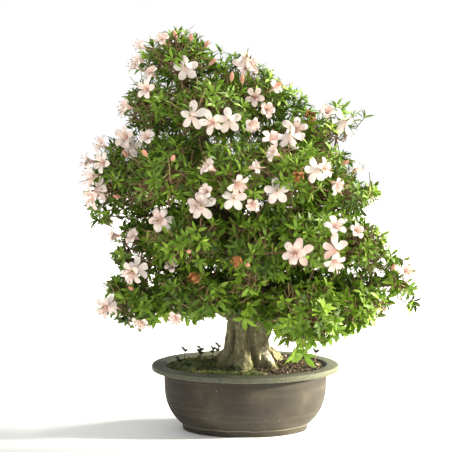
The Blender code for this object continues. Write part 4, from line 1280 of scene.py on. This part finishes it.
# painted light: the hanging shoots' tint is raised so they read as lit by the sun from the right
loose_shoots("hanging_shoots", HANGING, np.random.default_rng(77), 1,
             lambda place: np.array([0.35, -0.45, -0.55]), 0.0,
             lambda place, axis: np.array([-0.012, 0.030, 0.034]), larger=1.32, painted_light_tint=0.08)
loose_shoots("filling_shoots", FILLING, np.random.default_rng(78), 4,
             lambda place: 2.0 * (place - CROWN_MIDDLE) + (0, -0.1, 0.4), 0.009,
             lambda place, axis: -0.020 * axis, larger=1.0, painted_light_tint=0.0)
spaced = Spaced(SPACING)
totals = [grow(node, np.random.default_rng(100 + order), spaced) for order, node in enumerate(LEAF_NODES)]
discard(*LEAF_MODELS)
print(f"{sum(t[0] for t in totals)} whorls, {sum(t[1] for t in totals)} leaves")

# %% [markdown]
# ## Soil, moss and what lies on it
#
# Akadama soil is fired-clay grains of two to four millimetres. The soil keeps the CAD mound's shape: its
# copy is remeshed finely and its top is pushed up and down, and then loose grains, chips and tufts of moss
# are dropped onto it along straight lines.

# %% The soil's surface
SOIL_VOXEL = 0.0022
PEBBLE, PEBBLE_HEIGHT = 0.0042, 0.0014
MOUND_DEPTH = 0.012  # how far below its crest the soil's top reaches


def roughened(piece, height, scale, above):
    """Pushes every point above a level up and down by two sizes of noise."""
    points = get_points(piece.data)
    for index, point in enumerate(points):
        if point[2] > above:
            coarse = noise.noise(Vector(point) / scale)
            fine = noise.noise(Vector(point) / (scale * 0.38))
            point[2] += height * (0.65 * coarse + 0.35 * fine)
        points[index] = point
    set_points(piece.data, points)


soil = remeshed(merged_copy("soil_surface", "soil"), SOIL_VOXEL, 2)
SOIL_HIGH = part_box("soil")[1].z
roughened(soil, PEBBLE_HEIGHT, PEBBLE, SOIL_HIGH - MOUND_DEPTH)
soil.data.materials.append(SOIL)
placed("akadama_soil", [tint(soil, 0.45)], "soil", "soil", angle=60)
print(f"soil: {len(soil.data.polygons)} faces")

# %% [markdown]
# The moss grows in cushions, higher in the middle, each standing for its own CAD mat. Tufts thousands
# strong give the velvet edge that a bump alone can't.

# %% Moss cushions
CUSHION_VOXEL = 0.0020
CUSHION_HEIGHT, CUSHION_WIDTH = 0.0016, 0.0075  # of the little mounds on a cushion
CUSHIONS = {}
for mat in ("moss_left", "moss_front", "moss_back", "bark_chips_right"):
    cushion = remeshed(merged_copy(mat + "_cushion", mat), CUSHION_VOXEL, 2)
    roughened(cushion, CUSHION_HEIGHT, CUSHION_WIDTH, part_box(mat)[0].z + 0.0015)
    material, shade, slot = (MOSS, 0.42, "moss") if mat.startswith("moss") else (SOIL, 0.6, "bark_chips")
    cushion.data.materials.append(material)
    CUSHIONS[mat] = placed(mat + "_cushion", [tint(cushion, shade)], slot, mat, angle=60)
    print(f"{mat}: {len(cushion.data.polygons)} faces")

# %% [markdown]
# Everything loose is dropped along vertical lines: a ray finds where it lands, and it is skipped where the
# ray meets the wood first. Chips of bark gather on the right, with a few strays elsewhere.

# %% Dropping small things
SOIL_MIDDLE = Vector((POT_MIDDLE.x, POT_MIDDLE.y, 0))
SOIL_REACH = (0.1262, 0.0852)
DROP_HEIGHT = 0.135  # over everything in the pot
LOOSE = np.random.default_rng(7)
GROUND = tree_over(soil, *CUSHIONS.values())
WOOD = tree_over(trunk)
MOSS_TREES = [tree_over(cushion) for mat, cushion in CUSHIONS.items() if mat.startswith("moss")]
DOWN = Vector((0, 0, -1))


def landing(x, y):
    """(place, normal) on the ground under a spot, or None where wood stands over it."""
    above = Vector((x, y, DROP_HEIGHT))
    place, normal, _, distance = GROUND.ray_cast(above, DOWN)
    blocked = WOOD.ray_cast(above, DOWN, distance or 0)[0] if place else above
    bark, outwards, _, _ = WOOD.find_nearest(above)
    in_wood = (above - bark).dot(outwards) < 0
    return None if blocked is not None or in_wood else (np.array(place), np.array(normal))


def spots(count, where=lambda x, y: True):
    """Seeded spots on the ground, evenly spread over the soil's oval."""
    found = []
    while len(found) < count:
        x, y = LOOSE.uniform(-1, 1, 2)
        if x * x + y * y > 1:
            continue
        x, y = SOIL_MIDDLE.x + x * SOIL_REACH[0], SOIL_MIDDLE.y + y * SOIL_REACH[1]
        found.append((x, y) if where(x, y) else None)
    landed = [landing(*spot) for spot in found if spot]
    return [row for row in landed if row]


def on_moss(place):
    """True where the spot is on a moss cushion and not on bare soil."""
    for tree in MOSS_TREES:
        hit = tree.ray_cast(Vector((place[0], place[1], DROP_HEIGHT)), DOWN)[0]
        if hit and abs(hit.z - place[2]) < 2e-4:
            return True
    return False


def scattered(name, model, rows, sizes, slot, tones, sink=0.25, upright=0.0):
    """Copies of a model lying on the ground, each turned and sized at random, as one piece."""
    turns, places = [], []
    for place, normal in rows:
        axis = normal + (0.25 if upright else 0.7) * LOOSE.standard_normal(3) * (1 - upright)
        turn = standing_on(axis, LOOSE.uniform(0, 6.28))
        size = np.array([LOOSE.uniform(low, high) for low, high in sizes])
        turns.append(turn * size)
        places.append(place + np.array([0, 0, size[2] * (0.5 - sink) if not upright else -0.0003]))
    piece = copies(name, model, turns, places, [tones(place) for place, _ in rows])
    return placed(name, [piece], slot, angle=50)


def ball(name, material):
    deselect()
    ops.mesh.primitive_ico_sphere_add(subdivisions=1, radius=0.5)
    piece = made(name)
    points = get_points(piece.data)
    set_points(piece.data, waver(points, 0.16, 0.31))
    return mapped(piece, material)


def flat_chip(name):
    """A splintered flake one unit long, wide and thick, lying flat."""
    piece = extruded(name, 5, ((-0.5, 0.22, 0.30, 0.05), (-0.28, 0.42, 0.48, 0.0), (0.12, 0.50, 0.50, -0.04),
                               (0.40, 0.34, 0.40, 0.02), (0.5, 0.16, 0.22, 0.06)), tip=False)
    set_points(piece.data, waver(get_points(piece.data), 0.09, 0.4))
    return mapped(piece, CHIP)


def tuft(name):
    """Four little blades that lean apart, one unit tall, like the leafy stems of moss."""
    rings = ((0.0, 0.16, 0.16, 0.0), (0.45, 0.20, 0.16, 0.06), (1.0, 0.03, 0.03, 0.3))
    blade = mapped(extruded("one_blade", 3, rings), MOSS)
    whole = lifted(name, blade, [0.4, 2.0, 3.6, 5.1], [0.35, 0.2, 0.5, 0.3])
    discard(blade)
    return whole


grain_model, chip_model, tuft_model = ball("one_grain", GRAIN), flat_chip("one_chip"), tuft("one_tuft")
GRAINS, CHIPS, STRAY_CHIPS, TUFTS, COLLAR_TUFTS = 2600, 520, 110, 16000, 1500
bare = [row for row in spots(GRAINS) if not on_moss(row[0])]


def pale_near_foot(place):
    """Where roots rub at the surface, some of the grains are bleached."""
    near = np.hypot(place[0] - TRUNK_FOOT.x + 0.012, place[1] + 0.045) < 0.030
    return LOOSE.uniform(0.55, 1.0) if near and LOOSE.random() < 0.30 else LOOSE.uniform(0.0, 0.65)


scattered("soil_grains", grain_model, bare, ((0.0015, 0.0034),) * 3, "grit", pale_near_foot)
right_side = spots(CHIPS, where=lambda x, y: x > SOIL_MIDDLE.x + 0.022)
few = spots(STRAY_CHIPS)
scattered("bark_chips", chip_model, right_side + few, ((0.0035, 0.0085), (0.0022, 0.0046), (0.0009, 0.0019)),
          "bark_chips", lambda place: LOOSE.uniform(0.15, 1.0), sink=0.0)

# %% [markdown]
# Moss starts where it stays damp: on its cushions, all over the shaded left side, and in thin patches
# elsewhere. It also creeps up the foot of the trunk, where its tufts stand out from the bark.

# %% Tufts of moss
def green_here(place):
    """Moss covers its cushions, most of the left side, and thin patches elsewhere."""
    left = np.clip((SOIL_MIDDLE.x + 0.035 - place[0]) / 0.05, 0.08, 1)
    return on_moss(place) or noise.noise(Vector(place) / 0.011) + 1.3 * left > 0.42


def green(middle, cloud, size, each):
    """The tint of a tuft: clouds of this strength and size, and a little for each tuft."""
    return lambda place: middle + cloud * noise.noise(Vector(place) / size) + each * LOOSE.standard_normal()


TUFT_WIDTH = (0.0011, 0.0020)
mossy = [row for row in spots(TUFTS) if green_here(row[0])]
for side, rows in (("front", [row for row in mossy if row[0][1] < SOIL_MIDDLE.y]),
                   ("back", [row for row in mossy if row[0][1] >= SOIL_MIDDLE.y])):
    scattered(f"moss_tufts_{side}", tuft_model, rows, (TUFT_WIDTH, TUFT_WIDTH, (0.0011, 0.0028)), "moss",
              green(0.42, 0.62, 0.012, 0.10), upright=0.7)
foot_points, foot_normals = get_points(trunk.data), read(trunk.data.vertex_normals, "vector", 3)
collar = []
for index in LOOSE.permutation(np.flatnonzero(foot_points[:, 2] < SOIL_HIGH + 0.012)):
    point, normal = foot_points[index], foot_normals[index]
    reach = SOIL_HIGH + 0.001 + 0.011 * max(noise.noise(Vector(point) / 0.014) + 0.25, 0)
    if SOIL_HIGH - 0.010 < point[2] < reach and normal[2] > -0.2 and len(collar) < COLLAR_TUFTS:
        collar.append((point, normal))
scattered("moss_collar", tuft_model, collar, ((0.0011, 0.0019), (0.0011, 0.0019), (0.0010, 0.0020)), "moss",
          green(0.5, 0.5, 0.010, 0.08), upright=0.6)
discard(grain_model, chip_model, tuft_model)
print(f"{len(bare)} grains, {len(right_side) + len(few)} chips, {len(mossy)} tufts")

# %% [markdown]
# Seedlings and small shoots come up through the moss: a thin stem with a few round, dark leaves. Three have
# CAD nodes, which give their places and heights.

# %% Seedlings
round_leaf = mapped(extruded("one_round_leaf", 4, (
    (0.0, 0.0004, 0.0003, 0.0), (0.0024, 0.0024, 0.00022, 0.0004), (0.0054, 0.0034, 0.00020, 0.0004),
    (0.0080, 0.0018, 0.00018, 0.0))), SEEDLING)


def seedling(name, foot, height, leaves, nodes=()):
    """One stem with round leaves in a rising spiral."""
    foot = np.array(foot)
    top = foot + np.array([0.10 * height, -0.15 * height, height])
    turns, places = [], []
    for index in range(leaves):
        rise = 1 - 0.55 * index / leaves
        angle = 2.4 * index + LOOSE.uniform(-0.3, 0.3)
        direction = np.array([math.cos(angle), math.sin(angle), 0.9 * rise])
        size = LOOSE.uniform(0.95, 1.3)
        turns.append(np.stack(frame_of(direction, np.array([0.01, 0, 1])), 1) * size)
        places.append(foot + (top - foot) * rise)
    crown = copies(name + "_leaves", round_leaf, turns, places, LOOSE.uniform(0, 0.5, leaves), (0, 0, 1, 0.8))
    root = foot - [0, 0, 0.002]
    stem = copies(name + "_stem", TWIG_MODEL, [stick(root, top, 0.0007)], [root], [0.4], (0, 0.85, 1, 1))
    placed(name, [crown, stem], "seedling", *nodes, angle=60)


for node in sorted(name for name in NODES if name.startswith("sprout_")):
    low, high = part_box(node)
    foot = ((low.x + high.x) / 2, (low.y + high.y) / 2, low.z)
    seedling(node + "_shoot", foot, (high.z - low.z) * 0.92, 6, (node,))
SHOOTS = (  # x, y and height in metres, and the number of leaves
    (-0.118, -0.030, 0.012, 5), (-0.104, -0.052, 0.013, 6), (-0.086, -0.020, 0.019, 7),
    (-0.066, 0.020, 0.020, 7), (-0.058, 0.030, 0.024, 7), (0.078, -0.016, 0.012, 5),
    (-0.020, -0.070, 0.005, 3),
)
for index, (x, y, height, leaves) in enumerate(SHOOTS):
    spot = landing(x, y)
    if spot:
        seedling(f"small_shoot_{index}", spot[0] - [0, 0, 0.0005], height, leaves)
discard(round_leaf, TWIG_MODEL)
print("seedlings grown")

# %% [markdown]
# ## What the CAD model already shapes well
#
# The screens over the drain holes, the wire clips that hold them and the layer of pumice keep their CAD
# shapes, and take finishes of their own.

# %% Finishes for the drainage
for name, node in NODES.items():
    for start, material in (("drain_screen", SCREEN), ("screen_clip", WIRE), ("drainage_grit", PUMICE)):
        if name.startswith(start):
            for held in node.material_slots:
                held.material = material
            print(f"{name}: {material.name}")

# %% [markdown]
# ## Floor, light and camera
#
# The tree stands on a plain pale floor under a white sky, as in a studio tent. The key light comes from the
# right and a little behind, so leaves on that side glow with light that comes through them, and the pot's
# left end stays dark. The crown shades the pot, so a second, narrow lamp reaches its right end from low down.

# %% Floor
floor_paint = new_material("pale_floor")
add_node(floor_paint, "TexCoord", "place")
add_node(floor_paint, "TexNoise", "soft", Scale=3.0, Detail=2.0, links=PLACE)
add_node(floor_paint, "ValToRGB", "colour", links=(("soft", 0, 0),), ramp=((0.3, "E9E9E8"), (0.7, "EDEDEC")))
add_node(floor_paint, "BsdfPrincipled", "surface", Roughness=0.9, links=(("colour", 0, "Base Color"),))
finish(floor_paint)
deselect()
ops.mesh.primitive_plane_add(size=14, location=(0, 0, -0.0002))
floor = made("studio_floor")
ops.object.transform_apply(location=True)
floor.data.materials.append(floor_paint)
floor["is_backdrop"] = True


# %% Lights
def towards(turn, up, distance, target):
    """A place this far from a target, turned from +X towards +Y, and raised, in degrees."""
    turn, up = math.radians(turn), math.radians(up)
    way = Vector((math.cos(turn) * math.cos(up), math.sin(turn) * math.cos(up), math.sin(up)))
    return Vector(target) + way * distance


def lamp(name, kind, colour, energy, place, aim):
    """A lamp at a place that shines towards its aim."""
    light = bpy.data.objects.new(name, bpy.data.lights.new(name, kind))
    light.data.color, light.data.energy = rgb(colour)[:3], energy
    light.rotation_euler = (place - Vector(aim)).to_track_quat("Z", "Y").to_euler()
    bpy.context.scene.collection.objects.link(light)
    return light


KEY_TURN, KEY_UP = 14, 34
key = lamp("key_light", "SUN", "FFF6E6", 12.0, towards(KEY_TURN, KEY_UP, 1.0, (0, 0, 0)), (0, 0, 0))
key.data.angle = math.radians(16)  # wide, so the shadows have soft edges
LOW_AIM = (0.09, -0.03, 0.070)
LOW_TURN, LOW_UP, LOW_DISTANCE = -9, 17, 1.25
low_place = towards(LOW_TURN, LOW_UP, LOW_DISTANCE, LOW_AIM)
low = lamp("low_right_light", "SPOT", "FFF3DE", 430, low_place, LOW_AIM)
low.location = low_place
low.data.spot_size, low.data.spot_blend, low.data.shadow_soft_size = math.radians(13), 0.7, 0.05
world = bpy.data.worlds.new("white_tent")
world.use_nodes = True
world.node_tree.nodes["Background"].inputs["Color"].default_value = (1, 1, 1, 1)
world.node_tree.nodes["Background"].inputs["Strength"].default_value = 1.0
bpy.context.scene.world = world
bpy.context.scene.view_settings.view_transform = "Standard"

# %% Camera
CAMERA_PLACE = (-0.0435, -1.8, 0.49)
CAMERA_DOWN = math.radians(5.16)
lens = bpy.data.cameras.new("camera")
lens.lens, lens.sensor_width = 90.5, 36
camera = bpy.data.objects.new("camera", lens)
camera.location = CAMERA_PLACE
camera.rotation_euler = (math.pi / 2 - CAMERA_DOWN, 0, 0)
bpy.context.scene.collection.objects.link(camera)
bpy.context.scene.camera = camera

# %% Sizes and the last check
VISUAL_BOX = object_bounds()
for axis in range(3):
    grown = (CAD_BOX[0][axis] - VISUAL_BOX[0][axis], VISUAL_BOX[1][axis] - CAD_BOX[1][axis])
    print(f"axis {axis}: {1000 * grown[0]:.1f} mm below and {1000 * grown[1]:.1f} mm above the CAD box")
